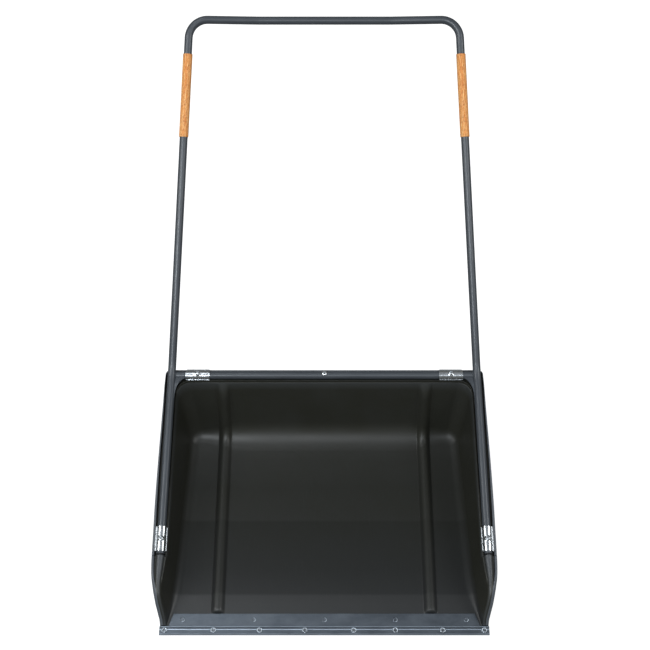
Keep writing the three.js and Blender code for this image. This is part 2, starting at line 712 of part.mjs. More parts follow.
function handleGeometry() {
  const topCorner = (side) => ({ at: cornerAt(side), radius: CORNER_R, steps: 7 });
  // set back square to the legs, so also a little down
  const setBack = vec(0, Math.sin(LEG_ANGLE), -Math.cos(LEG_ANGLE));
  const barKink = (side) => ({
    at: cornerAt(side).setX(side * BAR_KINK).addScaledVector(setBack, BAR_OFFSET),
    radius: BAR_KINK_R,
    steps: 2,
  });
  const handle = tube(roundedPath([
    footCorner(-1), kneeCorner(-1), topCorner(-1), barKink(-1),
    barKink(1), topCorner(1), kneeCorner(1), footCorner(1),
  ]));
  return geometryOf(drill(handle, sideSpots, { radius: SCREW_BORE_R, from: -14, to: 14 }));
}

// cross tube between the legs, its ends coped to them
function crossTubeGeometry() {
  let cross = tube(crossPath(TUBE_X - TUBE_R + CROSS_OVERLAP));
  for (const side of SIDES) cross = cross.subtract(legCutter(side));
  const bore = { radius: SCREW_BORE_R, from: -14, to: 14 };
  return geometryOf(drill(cross, [...topSpots, centreSpot], bore));
}

// flat web with a hollow edge between a leg and the cross tube
const GUSSET = {
  thickness: 2.5,
  above: 2.2,                 // underside above the cross tube's centre
  front: 497,                 // dist of the front end
  inner: 305,                 // x of the inner end
  arcX: 33, arcDist: 52,      // half axes of the hollow quarter ellipse
  arcSteps: 8,
};
function gussetGeometry(side) {
  const outerEnd = tubeX(CROSS_DIST) + 6;
  const rear = CROSS_DIST + 4;
  const arc = [];
  for (let i = 0; i <= GUSSET.arcSteps; i++) {
    const angle = (Math.PI / 2) * i / GUSSET.arcSteps;
    arc.push([
      GUSSET.inner + GUSSET.arcX * Math.cos(angle),
      GUSSET.front + GUSSET.arcDist * Math.sin(angle),
    ]);
  }
  const outline = [[outerEnd, GUSSET.front], ...arc, [GUSSET.inner, rear], [outerEnd, rear]]
    .map(([x, dist]) => [side * x, dist - ORIGIN_DIST]);
  const geometry = extrude(outline, GUSSET.thickness);
  geometry.translate(0, 0, CROSS_Z + GUSSET.above);
  // follows the slope of the channel in front, level at the cross tube
  const position = geometry.attributes.position;
  for (let i = 0; i < position.count; i++) {
    const ahead = Math.min(0, position.getY(i) + ORIGIN_DIST - LEVEL_FROM);
    position.setZ(i, position.getZ(i) + ahead * RIM_SLOPE);
  }
  // the tubes cut the web into pieces; the largest is the gusset
  const pieces = solid(geometry)
    .subtract(legCutter(side))
    .subtract(tubeCutter(crossPath(380)))
    .decompose();
  pieces.sort((p, q) => q.volume() - p.volume());
  return geometryOf(pieces[0]);
}

// sleeve on the upper leg
const GRIP_START = 531.5;     // from the knee, along the leg
const GRIP_LEN = 185;
function gripGeometry(side) {
  const axis = legDirection(side);
  const bore = TUBE_R + 0.25;
  const rim = TUBE_R + 1.1;
  const outside = TUBE_R + 1.5;
  return turned([
    [bore, 0], [rim, 0], [outside, 0.8], [outside, GRIP_LEN - 0.8],
    [rim, GRIP_LEN], [bore, GRIP_LEN], [bore, 0],
  ], { at: kneeAt(side).addScaledVector(axis, GRIP_START), axis }, 20);
}

// plug in the lower end of a leg
function plugGeometry(side) {
  const at = footAt(side);
  const head = TUBE_R - 0.2;
  const bore = TUBE_R - TUBE_WALL;
  return turned([
    [0, -2.6], [7, -2.6], [head, -1.6], [head, -0.3],
    [bore - 0.35, -0.3], [bore - 0.5, 16], [0, 16],
  ], { at, axis: kneeAt(side).sub(at).normalize() }, 14);
}

// ---------- clamps and screws ----------
// Flat feet over both lips of the channel, with a round saddle between them.
// Drawn across the tube: x to the inside of the tub, y up.
function clampGeometry({ at, axis, inward, ...spot }) {
  const innerR = TUBE_R + CLAMP_GAP;
  const outerR = innerR + CLAMP_T;
  const steps = 9;
  const outerFoot = { x: -13.8, low: 1.7, high: 1.7 + CLAMP_T };
  const innerFoot = { x: 12.6, low: -1.4, high: -1.4 + CLAMP_T };
  // from the outer foot to the inner one
  const arc = (radius, level) => {
    const from = Math.PI - Math.asin(outerFoot[level] / radius);
    const to = Math.asin(innerFoot[level] / radius);
    return Array.from({ length: steps + 1 }, (_, i) => {
      const angle = lerp(from, to, i / steps);
      return [radius * Math.cos(angle), radius * Math.sin(angle)];
    });
  };
  const geometry = extrude([
    [outerFoot.x, outerFoot.low], [outerFoot.x, outerFoot.high], ...arc(outerR, "high"),
    [innerFoot.x, innerFoot.high], [innerFoot.x, innerFoot.low], ...arc(innerR, "low").reverse(),
  ], CLAMP_LEN);
  geometry.translate(0, 0, -CLAMP_LEN / 2);
  const alongTube = inward.clone().cross(axis);
  const frame = new THREE.Matrix4().makeBasis(inward, axis, alongTube).setPosition(at);
  const bore = { radius: SCREW_BORE_R, from: 4, to: 16 };
  return geometryOf(drill(solid(geometry.applyMatrix4(frame)), [{ at, axis, ...spot }], bore));
}

// domed head with a recess; extra widens the head
function screwProfile(top, bottom, extra) {
  return [
    [0, bottom], [2.8, bottom], [2.8, top + 0.1], [5.6 + extra, top + 0.1],
    [5.5 + extra, top + 1.6], [4.4 + extra, top + 2.8], [2.4, top + 3.3],
    [1.7, top + 3.3], [1.5, top + 2.2], [0, top + 2.1],
  ];
}
function washerProfile(top) {
  const bottom = top - 1.2;
  const outerR = 7;
  return [
    [SCREW_BORE_R, bottom], [outerR, bottom], [outerR, top],
    [SCREW_BORE_R, top], [SCREW_BORE_R, bottom],
  ];
}
function nutGeometry(spot, top) {
  const bottom = top - 4.6;
  const nut = post(spot, { radius: 5.6, from: bottom, to: top, seg: 6 });
  const bore = { radius: SCREW_BORE_R, from: bottom - 1, to: top + 1 };
  return geometryOf(drill(nut, [spot], bore));
}

// ---------- assembly ----------
const scoop = new THREE.Group();
const frameGroup = new THREE.Group();
const edgeGroup = new THREE.Group();
const hardware = new THREE.Group();
scoop.add(frameGroup, edgeGroup, hardware);
function put(parent, name, geometry, meshMaterial) {
  const mesh = new THREE.Mesh(geometry, meshMaterial);
  mesh.name = name;
  parent.add(mesh);
}
// screw, washer and nut; heights are measured along the screw from the tube centre
function putScrew(nameOf, spot, { headZ, extra = 0, seg = 14 }) {
  const under = -(TUBE_R + TUBE_GAP + CHANNEL_T) - spot.washerGap;
  const screw = turned(screwProfile(headZ, under - 8.2, extra), spot, seg);
  put(hardware, nameOf("screw"), screw, zinc);
  put(hardware, nameOf("washer"), turned(washerProfile(under - 0.3), spot, 14), zinc);
  put(hardware, nameOf("nut"), nutGeometry(spot, under - 1.7), zinc);
}

put(scoop, "tub", tubGeometry(), plastic);

put(edgeGroup, "edge_plate", edgePlateGeometry(), edgeSteel);
put(edgeGroup, "wear_strip", wearStripGeometry(), wearSteel);
rivetSpots.forEach((spot, i) => {
  put(edgeGroup, `edge_rivet_${i + 1}`, edgeRivetGeometry(spot), zinc);
});
studSpots.forEach((spot, i) => {
  put(edgeGroup, `wear_rivet_${i + 1}`, wearRivetGeometry(spot), zinc);
});

put(frameGroup, "handle_tube", handleGeometry(), graphite);
put(frameGroup, "cross_tube", crossTubeGeometry(), graphite);
for (const side of SIDES) {
  put(frameGroup, `corner_gusset_${sideName(side)}`, gussetGeometry(side), graphite);
}
for (const side of SIDES) {
  put(frameGroup, `grip_${sideName(side)}`, gripGeometry(side), orange);
  put(frameGroup, `tube_plug_${sideName(side)}`, plugGeometry(side), rubber);
}

for (const spot of [...sideSpots, ...topSpots]) {
  put(hardware, `clamp_${spot.name}`, clampGeometry(spot), zinc);
  putScrew((part) => `clamp_${part}_${spot.name}`, spot, { headZ: TUBE_R + CLAMP_GAP + CLAMP_T });
}
putScrew((part) => `centre_${part}`, centreSpot, { headZ: TUBE_R, extra: 1, seg: 16 });

export default scoop;
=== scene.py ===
# Looks for a push scoop: moulded tub, two-piece metal edge, U-shaped tube handle,
# pressed clamps and screws.  The cutting edge faces -Y, the handle rises towards +Y,
# +X is right and the floor lies on z = 0.  Lengths are millimetres until make() turns
# them into metres.  "depth" is a distance back from the tip of the cutting edge, so
# y = depth - ORIGIN.  "side" is -1 on the left and +1 on the right.
import bpy
import bmesh
import math
import numpy as np
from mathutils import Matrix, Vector


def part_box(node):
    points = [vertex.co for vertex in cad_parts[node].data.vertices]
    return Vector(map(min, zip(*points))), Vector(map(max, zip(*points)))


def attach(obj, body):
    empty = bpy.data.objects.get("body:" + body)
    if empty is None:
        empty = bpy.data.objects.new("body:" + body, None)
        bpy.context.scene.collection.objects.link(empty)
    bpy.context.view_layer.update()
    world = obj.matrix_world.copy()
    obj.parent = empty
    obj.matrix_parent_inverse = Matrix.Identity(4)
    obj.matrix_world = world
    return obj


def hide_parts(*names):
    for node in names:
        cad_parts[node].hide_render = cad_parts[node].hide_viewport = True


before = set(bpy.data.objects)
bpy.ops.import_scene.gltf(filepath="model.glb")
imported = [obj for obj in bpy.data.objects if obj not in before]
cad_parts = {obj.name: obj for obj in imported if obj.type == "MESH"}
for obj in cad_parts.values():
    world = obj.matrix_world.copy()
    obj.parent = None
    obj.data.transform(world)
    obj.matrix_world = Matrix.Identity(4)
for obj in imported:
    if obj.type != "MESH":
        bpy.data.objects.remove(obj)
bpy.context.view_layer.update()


def span(piece):
    """Lowest and highest corner of a CAD piece in millimetres."""
    low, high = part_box(piece)
    return np.array(low) * 1000, np.array(high) * 1000


# ---------- dimensions shared by several pieces ----------
SIDES = ((-1, "left"), (1, "right"))
ORIGIN = -span("wear_strip")[0][1]            # depth of y = 0
# tub
FLOOR_T = 4.0
FLOOR_FRONT, FLOOR_BACK = 20.0, 487.0
FILLET_SIDE, FILLET_BACK, FILLET_CORNER = 22.0, 58.0, 30.0
RIM_BACK_IN, RIM_BACK_OUT = 540.0, span("tub")[1][1] + ORIGIN
BASE_CORNER, RIM_CORNER_IN, RIM_CORNER_OUT = 28.0, 33.0, 11.0   # radii in plan
CHANNEL_IN, CHANNEL_T = 13.0, 3.5             # inner edge to tube line; plastic under it
LEDGE_H, LIP_IN_H, LIP_OUT_H = 1.5, 7.6, 10.0  # above the bottom of the channel
LEDGE_DROP = 0.9                              # top of the inner wall below the ledge
NOSE_BACK = 150.0                             # the rim is a closed nose in front of this
RIB_X = 230.0
# tube frame
RIM_SLOPE = 0.2126
SLOPE_ANGLE = math.atan(RIM_SLOPE)
TUBE_X, TUBE_Z, LEVEL_DEPTH = 346, 160.5, 530.0
TUBE_R, TUBE_WALL, TUBE_GAP, TUBE_TAPER = 9.0, 1.5, 0.5, 0.018
TUBE_FRONT, BEND_DEPTH, BEND_R = 153.4, 536.0, 110.0
LEG_ANGLE, LEG_LEN, LEG_SPLAY = math.radians(37), 792.0, 0.0558
CORNER_R, BAR_OFFSET, BAR_KINK, KINK_R = 43.0, 14.0, 149.0, 160
CROSS_DEPTH, CROSS_Z = 555.0, 160.6


# ---------- small maths ----------
def vec(*values):
    return np.array(values, float)


def unit(a):
    return a / np.linalg.norm(a)


def lerp(a, b, t):
    return a + (b - a) * t


def smooth(start, end, x):
    t = np.clip((x - start) / (end - start), 0, 1)
    return t * t * (3 - 2 * t)


def curve(rows):
    """A smooth curve through (x, y) rows that never overshoots them."""
    xs, ys = np.array(rows, float).T
    step, rate = np.diff(xs), np.diff(ys) / np.diff(xs)
    slope = np.zeros(len(xs))
    for i in range(1, len(xs) - 1):
        if rate[i - 1] * rate[i] > 0:
            before, after = 2 * step[i] + step[i - 1], step[i] + 2 * step[i - 1]
            slope[i] = (before + after) / (before / rate[i - 1] + after / rate[i])
    slope[0], slope[-1] = rate[0], rate[-1]

    def value(x):
        x = np.clip(x, xs[0], xs[-1])
        i = np.clip(np.searchsorted(xs, x) - 1, 0, len(step) - 1)
        t = (x - xs[i]) / step[i]
        return ((1 + 2 * t) * (1 - t) ** 2 * ys[i] + t * (1 - t) ** 2 * step[i] * slope[i]
                + t * t * (3 - 2 * t) * ys[i + 1] + t * t * (t - 1) * step[i] * slope[i + 1])
    return value


def bezier(p0, p1, p2, p3, count):
    t = np.linspace(0, 1, count)[:, None]
    return ((1 - t) ** 3 * p0 + 3 * t * (1 - t) ** 2 * p1
            + 3 * t * t * (1 - t) * p2 + t ** 3 * p3)


def round_corners(points, radii, count=3, limit=0.42):
    """Rounds each inner point of a polyline; the ends are left out of the result."""
    out = []
    for i in range(1, len(points) - 1):
        a, b, c = points[i - 1], points[i], points[i + 1]
        before, after = max(1e-9, np.linalg.norm(a - b)), max(1e-9, np.linalg.norm(c - b))
        cut = min(radii[i], limit * before, limit * after)
        start, end = b + (a - b) / before * cut, b + (c - b) / after * cut
        for t in np.linspace(0, 1, count):
            out.append((1 - t) ** 2 * start + 2 * t * (1 - t) * b + t * t * end)
    return out


def soften(profile, radius):
    """Rounds the corners of a (radius, height) profile and keeps its ends."""
    rows = [vec(*row) for row in profile]
    middle = round_corners(rows, [radius] * len(rows), count=4, limit=0.45)
    return [rows[0]] + middle + [rows[-1]]


def frame_of(axis):
    """Two directions square to an axis, and the axis itself."""
    w = unit(axis)
    u = unit(np.cross(vec(0, 1, 0) if abs(w[0]) > 0.7 else vec(1, 0, 0), w))
    return u, np.cross(w, u), w


# ---------- rim and tube lines ----------
# (depth, x) of the rim's outer edge
outer_curve = curve([
    (20, 352.6), (28, 353.2), (35, 355.2), (42, 357.2), (50, 359.8), (58, 361.6), (66, 363.3),
    (75, 365.2), (86, 367.2), (98, 369.4), (116, 371.3), (138, 372), (165, 371.8), (200, 371.3),
    (240, 371), (300, 369.7), (350, 368.2), (400, 366.4), (440, 364.8), (490, 363), (570, 360.6)])
# (depth, x) of the floor's edge
base_curve = curve([
    (20, 337.6), (28, 336.4), (43, 333), (66, 328.6), (98, 324.8), (150, 321.8),
    (200, 319.4), (300, 315.4), (480, 308)])


def tube_x(depth):
    return TUBE_X + (CROSS_DEPTH - min(depth, CROSS_DEPTH)) * TUBE_TAPER


def tube_z(depth):
    return TUBE_Z + (min(depth, LEVEL_DEPTH) - LEVEL_DEPTH) * RIM_SLOPE


def rail_z(depth):
    """Bottom of the channel that the tube lies in."""
    return tube_z(depth) - TUBE_R / math.cos(SLOPE_ANGLE) - TUBE_GAP


# (depth, x) of the nose's inner edge
nose_inner_curve = curve([
    (20, 338.6), (28, 339.2), (46, 343.8), (58, 347), (67, 348.3), (85, 348.2), (100, 346.6),
    (130, 342.4), (NOSE_BACK, tube_x(NOSE_BACK) - CHANNEL_IN)])
# (depth, z) of the nose's crown
nose_top_curve = curve([
    (20, 8.5), (24, 12.5), (30, 21), (37, 33), (45, 45), (55, 57), (67, 67), (80, 73),
    (97, 77.4), (NOSE_BACK, tube_z(NOSE_BACK) + TUBE_R)])


def outer_x(depth):
    return float(outer_curve(depth))


def inner_x(depth):
    if depth >= NOSE_BACK:
        return tube_x(depth) - CHANNEL_IN
    return float(nose_inner_curve(depth))


def base_x(depth):
    return float(base_curve(depth))


def nose_top(depth):
    return float(nose_top_curve(depth))


# ---------- meshes ----------
def make(name, points, faces, shader, piece, loc, sharp=38, weld=0.0, bevel=None):
    """A mesh object from millimetre points that stands in for a CAD piece.

    loc is stored per point for the shader, sharp is the angle of a sharp edge in
    degrees, bevel is (width, segments, least angle in degrees)."""
    mesh = bpy.data.meshes.new(name)
    mesh.from_pydata((np.asarray(points, float) * 0.001).tolist(), [],
                     [list(map(int, face)) for face in faces])
    local = mesh.attributes.new("loc", "FLOAT_VECTOR", "POINT")
    values = (np.asarray(loc, float) * 0.001).astype(np.float32)
    local.data.foreach_set("vector", values.ravel())
    bm = bmesh.new()
    bm.from_mesh(mesh)
    if weld:
        bmesh.ops.remove_doubles(bm, verts=bm.verts, dist=weld * 0.001)
        bmesh.ops.dissolve_degenerate(bm, edges=bm.edges, dist=1e-7)
    if bevel:
        width, segments, angle = bevel
        bmesh.ops.recalc_face_normals(bm, faces=bm.faces)
        edges = [e for e in bm.edges
                 if len(e.link_faces) == 2 and e.calc_face_angle() > math.radians(angle)]
        bmesh.ops.bevel(bm, geom=edges, offset=width * 0.001, segments=segments,
                        profile=0.5, affect="EDGES", clamp_overlap=True)
        bmesh.ops.remove_doubles(bm, verts=bm.verts, dist=2e-6)
        bmesh.ops.dissolve_degenerate(bm, edges=bm.edges, dist=1e-6)
    bmesh.ops.recalc_face_normals(bm, faces=bm.faces)
    if bm.calc_volume(signed=True) < 0:
        bmesh.ops.reverse_faces(bm, faces=bm.faces)
    bm.to_mesh(mesh)
    bm.free()
    mesh.polygons.foreach_set("use_smooth", [True] * len(mesh.polygons))
    mesh.set_sharp_from_angle(angle=math.radians(sharp))
    mesh.materials.append(shader.material)
    item = bpy.data.objects.new(name, mesh)
    bpy.context.scene.collection.objects.link(item)
    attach(item, "root")
    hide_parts(piece)


def strip(a, b, closed=False):
    """Quads between two index rows."""
    count = len(a)
    out = []
    for i in range(count if closed else count - 1):
        j = (i + 1) % count
        out.append((a[i], a[j], b[j], b[i]))
    return out


def ring_faces(count, seg):
    """Quads between rings of points, the last ring joined to the first."""
    index = np.arange(count * seg).reshape(count, seg)
    faces = []
    for k in range(count):
        faces += strip(index[k], index[(k + 1) % count], True)
    return faces


def slab(top, low):
    """Points and faces of a closed slab between two grids of points."""
    rows, across = top.shape[:2]
    upper = np.arange(rows * across).reshape(rows, across)
    lower = upper + rows * across
    faces = []
    for k in range(rows - 1):
        faces += strip(upper[k], upper[k + 1]) + strip(lower[k], lower[k + 1])
    for edge in (np.s_[:, 0], np.s_[:, -1], np.s_[0], np.s_[-1]):
        faces += strip(upper[edge], lower[edge])
    return np.vstack([top.reshape(-1, 3), low.reshape(-1, 3)]), faces


def circle(seg):
    return np.linspace(0, 2 * np.pi, seg, endpoint=False)


def turned(name, profile, at, axis, shader, piece, sharp=38, seg=56, closed=False,
           wobble=None, sink=None, spin=0.0):
    """A turned piece from (radius, height) rows that start and end on the axis, or close.

    wobble(angle, z) scales the radius, sink(x, y, z) lowers points along the axis and
    spin turns the piece about it."""
    u, v, w = frame_of(axis)
    u, v = (u * math.cos(spin) + v * math.sin(spin), v * math.cos(spin) - u * math.sin(spin))
    points, loc, rows = [], [], []
    for radius, z in profile:
        if radius < 1e-6:
            rows.append([len(points)] * seg)
            height = z - sink(0, 0, z) if sink else z
            points.append(at + w * height)
            loc.append(vec(0, 0, height))
            continue
        rows.append(list(range(len(points), len(points) + seg)))
        for a in circle(seg):
            r = radius * (1 + (wobble(a, z) if wobble else 0))
            x, y = r * math.cos(a), r * math.sin(a)
            height = z - sink(x, y, z) if sink else z
            points.append(at + (u * math.cos(a) + v * math.sin(a)) * r + w * height)
            loc.append(vec(x, y, height))
    pairs = list(zip(rows[:-1], rows[1:]))
    if closed:
        pairs.append((rows[-1], rows[0]))
    faces = []
    for a, b in pairs:
        for quad in strip(a, b, True):
            face = list(dict.fromkeys(quad))       # a quad at the axis is a triangle
            if len(face) > 2:
                faces.append(face)
    make(name, points, faces, shader, piece, loc, sharp=sharp)


def carried_frames(tangents):
    """Side directions along a path that do not twist about it."""
    tangents = np.array([unit(t) for t in tangents])
    first = [frame_of(tangents[0])[0]]
    for before, now in zip(tangents[:-1], tangents[1:]):
        side = first[-1]
        axis = np.cross(before, now)
        sine = np.linalg.norm(axis)
        if sine > 1e-9:
            axis /= sine
            turn = math.atan2(sine, before @ now)
            side = (side * math.cos(turn) + np.cross(axis, side) * math.sin(turn)
                    + axis * (axis @ side) * (1 - math.cos(turn)))
        first.append(unit(side - now * (side @ now)))
    first = np.array(first)
    return tangents, first, np.cross(tangents, first)


def swept(path, tangents, rings, seg, ripple=None):
    """A round shell along a path; rings are (station, radius, offset along the path)."""
    path = np.asarray(path, float)
    tangents, first, second = carried_frames(tangents)
    length = np.concatenate([[0], np.cumsum(np.linalg.norm(np.diff(path, axis=0), axis=1))])
    cos, sin = np.cos(circle(seg)), np.sin(circle(seg))
    points, loc = [], []
    for i, radius, along in rings:
        r = radius + (ripple(length[i]) if ripple else 0)
        centre = path[i] + tangents[i] * along
        points.append(centre + (first[i][None] * cos[:, None] + second[i][None] * sin[:, None]) * r)
        loc.append(np.stack([r * cos, r * sin, np.full(seg, length[i] + along)], 1))
    return np.vstack(points), ring_faces(len(rings), seg), np.vstack(loc)


def rounded_path(corners, gap=14.0, step=math.radians(2.2)):
    """Points and tangents of a polyline with rounded corners, given as (point, radius)."""
    points = [corners[0][0]]
    tangents = [unit(corners[1][0] - corners[0][0])]

    def straight(end, tangent, with_end):
        start = points[-1]
        count = max(1, int(np.linalg.norm(end - start) // gap))
        for j in range(1, count + with_end):
            points.append(lerp(start, end, j / count))
            tangents.append(tangent)

    for i in range(1, len(corners) - 1):
        before, (corner, radius), after = corners[i - 1][0], corners[i], corners[i + 1][0]
        u, v = unit(corner - before), unit(after - corner)
        turn = math.acos(np.clip(u @ v, -1, 1))
        w = unit(v - u * (u @ v))
        start = corner - u * radius * math.tan(turn / 2)
        straight(start, u, False)
        count = max(3, int(math.ceil(turn / step)))
        for j in range(count + 1):
            t = turn * j / count
            points.append(start + u * radius * math.sin(t) + w * radius * (1 - math.cos(t)))
            tangents.append(u * math.cos(t) + w * math.sin(t))
    end = corners[-1][0]
    straight(end, unit(end - points[-1]), True)
    return np.array(points), np.array(tangents)


# ---------- procedural materials ----------
class Shader:
    """A principled material that keeps the name of a CAD slot; its coordinates are millimetres."""
    def __init__(self, name, slot=None):
        self.slot = slot
        self.material = bpy.data.materials.new(name)
        self.material.use_nodes = True
        self.tree = self.material.node_tree
        self.tree.nodes.clear()
        output = self.node("ShaderNodeOutputMaterial")
        self.surface = self.node("ShaderNodeBsdfPrincipled")
        self.link(self.surface.outputs[0], output.inputs[0])

    def node(self, kind, **settings):
        node = self.tree.nodes.new(kind)
        for key, value in settings.items():
            setattr(node, key, value)
        return node

    def link(self, source, target):
        self.tree.links.new(source, target)

    def feed(self, socket, value):
        """Links a socket, or sets it to a number."""
        if isinstance(value, bpy.types.NodeSocket):
            self.link(value, socket)
        else:
            socket.default_value = value

    def put(self, socket, value):
        self.feed(self.surface.inputs[socket], value)

    def mapped(self, place, scale):
        mapping = self.node("ShaderNodeMapping")
        mapping.inputs["Scale"].default_value = tuple(1000 * s for s in scale)
        self.link(place, mapping.inputs["Vector"])
        return mapping.outputs["Vector"]

    def frame_mm(self, scale=(1, 1, 1)):
        """Coordinates of the frame."""
        return self.mapped(self.node("ShaderNodeTexCoord").outputs["Object"], scale)

    def piece_mm(self, scale=(1, 1, 1)):
        """The loc attribute: coordinates about the piece's own axis."""
        node = self.node("ShaderNodeAttribute", attribute_name="loc")
        return self.mapped(node.outputs["Vector"], scale)

    def noise(self, place, size, detail=3.0, rough=0.5, distort=0.0):
        node = self.node("ShaderNodeTexNoise")
        node.inputs["Scale"].default_value = 1.0 / size
        node.inputs["Detail"].default_value = detail
        node.inputs["Roughness"].default_value = rough
        node.inputs["Distortion"].default_value = distort
        self.link(place, node.inputs["Vector"])
        return node.outputs["Fac"]

    def cells(self, place, size):
        node = self.node("ShaderNodeTexVoronoi")
        node.inputs["Scale"].default_value = 1.0 / size
        self.link(place, node.inputs["Vector"])
        return node.outputs["Distance"]

    def ramp(self, value, stops):
        """Grey ramp through (position, level) stops."""
        node = self.node("ShaderNodeValToRGB")
        elements = node.color_ramp.elements
        while len(elements) < len(stops):
            elements.new(0.5)
        for k, (position, level) in enumerate(stops):
            elements[k].position = position
            elements[k].color = (level, level, level, 1)
        self.link(value, node.inputs["Fac"])
        return node.outputs["Color"]

    def span(self, value, within, to=(0, 1)):
        """Maps one range to another, clamped."""
        node = self.node("ShaderNodeMapRange")
        for key, number in zip(("From Min", "From Max", "To Min", "To Max"), (*within, *to)):
            node.inputs[key].default_value = number
        self.link(value, node.inputs["Value"])
        return node.outputs["Result"]

    def calc(self, operation, a, b=0.0):
        node = self.node("ShaderNodeMath", operation=operation)
        self.feed(node.inputs[0], a)
        self.feed(node.inputs[1], b)
        return node.outputs[0]

    def mix(self, factor, base, tint):
        """Goes from the base colour to the tint as the factor goes from 0 to 1."""
        node = self.node("ShaderNodeMix", data_type="RGBA")
        for k, value in ((0, factor), (6, base), (7, tint)):
            self.feed(node.inputs[k], (*value, 1) if isinstance(value, tuple) else value)
        return node.outputs[2]

    def axis(self, place, k):
        node = self.node("ShaderNodeSeparateXYZ")
        self.link(place, node.inputs[0])
        return node.outputs[k]

    def bump(self, height, strength, distance, normal=None):
        node = self.node("ShaderNodeBump")
        node.inputs["Strength"].default_value = strength
        node.inputs["Distance"].default_value = distance
        self.link(height, node.inputs["Height"])
        if normal is not None:
            self.link(normal, node.inputs["Normal"])
        return node.outputs["Normal"]


def plastic_shader():
    mat = Shader("tub_plastic", slot="tub_plastic")
    place = mat.frame_mm()
    cloud = mat.noise(place, size=90, detail=4, rough=0.55)
    grain = mat.noise(place, size=0.9, detail=2)
    leather = mat.cells(place, size=1.5)
    scuff = mat.noise(mat.frame_mm(scale=(1 / 1.4, 1 / 60, 1 / 1.4)), size=1, rough=0.6)
    x, y, z = (mat.axis(place, k) for k in range(3))
    base = mat.mix(mat.span(cloud, within=(0.35, 0.65), to=(0, 0.6)),
                   base=(0.0165, 0.0168, 0.0122), tint=(0.0176, 0.0182, 0.0150))
    # painted sheen: the floor is painted paler and bluer, most towards the front, where it catches
    # the cool lamps
    painted_front_sheen = mat.calc("MULTIPLY", mat.span(z, within=(22, 8)),
                         mat.span(y, within=(60, -200), to=(0.35, 1)))
    base = mat.mix(painted_front_sheen, base, tint=(0.0165, 0.0176, 0.0186))
    base = mat.mix(mat.span(scuff, within=(0.60, 0.78), to=(0, 0.30)), base,
                   tint=(0.032, 0.034, 0.035))
    # painted highlight: the rim's lips, ledge and nose crown are painted a paler slate where they
    # catch the lamps; loc holds this mask in its x
    painted_rim_highlight = mat.axis(mat.piece_mm(), 0)
    base = mat.mix(painted_rim_highlight, base, tint=(0.082, 0.091, 0.104))
    mat.put("Base Color", base)
    rough = mat.calc("ADD", mat.span(cloud, within=(0.3, 0.7), to=(0.42, 0.51)),
                     mat.span(grain, within=(0.3, 0.7), to=(-0.05, 0.05)))
    rough = mat.calc("SUBTRACT", rough, mat.span(scuff, within=(0.62, 0.8), to=(0, 0.08)))
    highlight_gloss = 0.08                             # roughness lost under the full painted rim highlight
    mat.put("Roughness", mat.calc("SUBTRACT", rough, mat.calc("MULTIPLY", painted_rim_highlight, highlight_gloss)))
    # floor sheen: bands from front to back, falling off from left to right
    band = mat.ramp(mat.span(y, within=(-240, 260)), stops=[
        (0.04, 1.32), (0.14, 1.18), (0.176, 1.05), (0.188, 0.56), (0.30, 0.34),
        (0.528, 0.22), (0.540, 0.40), (0.70, 0.34), (0.84, 0.56), (0.94, 1.00)])
    sheen = mat.calc("MULTIPLY", band, mat.span(x, within=(-330, 330), to=(1.26, 0.80)))
    on_floor = mat.span(z, within=(26, 9))
    floor_level, wall_level = 0.42, 0.48           # specular level on the floor and above it
    level = mat.calc("ADD",
                     mat.calc("MULTIPLY", on_floor, mat.calc("MULTIPLY", sheen, floor_level)),
                     mat.span(on_floor, within=(0, 1), to=(wall_level, 0)))
    mat.put("Specular IOR Level", level)
    normal = mat.bump(leather, strength=0.10, distance=0.0004)
    normal = mat.bump(grain, strength=0.10, distance=0.0003, normal=normal)
    waves = mat.noise(place, size=55, detail=2, rough=0.4)
    normal = mat.bump(waves, strength=0.35, distance=0.0012, normal=normal)
    mat.put("Normal", mat.bump(scuff, strength=0.06, distance=0.0002, normal=normal))
    return mat


def coat_shader():
    mat = Shader("frame_coat", slot="frame_graphite")
    place = mat.piece_mm()
    peel = mat.noise(place, size=1.3, detail=2)
    fleck = mat.cells(place, size=0.45)
    cloud = mat.noise(mat.piece_mm(scale=(1, 1, 0.12)), size=9)
    rub = mat.noise(mat.piece_mm(scale=(1 / 2.0, 1 / 2.0, 1 / 90)), size=1, detail=4, rough=0.65)
    base = mat.mix(mat.span(cloud, within=(0.35, 0.65)),
                   base=(0.045, 0.052, 0.062), tint=(0.056, 0.064, 0.075))
    base = mat.mix(mat.span(fleck, within=(0.10, 0.02), to=(0, 0.35)), base,
                   tint=(0.17, 0.19, 0.22))
    base = mat.mix(mat.span(rub, within=(0.62, 0.8), to=(0, 0.5)), base,
                   tint=(0.12, 0.135, 0.15))
    mat.put("Base Color", base)
    mat.put("Metallic", 0.12)
    mat.put("Roughness", mat.calc("ADD", mat.span(peel, within=(0.3, 0.7), to=(0.40, 0.48)),
                                  mat.span(rub, within=(0.5, 0.8), to=(-0.04, 0.05))))
    mat.put("Coat Weight", 0.13)
    mat.put("Coat Roughness", 0.12)
    normal = mat.bump(peel, strength=0.16, distance=0.00025)
    mat.put("Normal", mat.bump(rub, strength=0.06, distance=0.0002, normal=normal))
    return mat


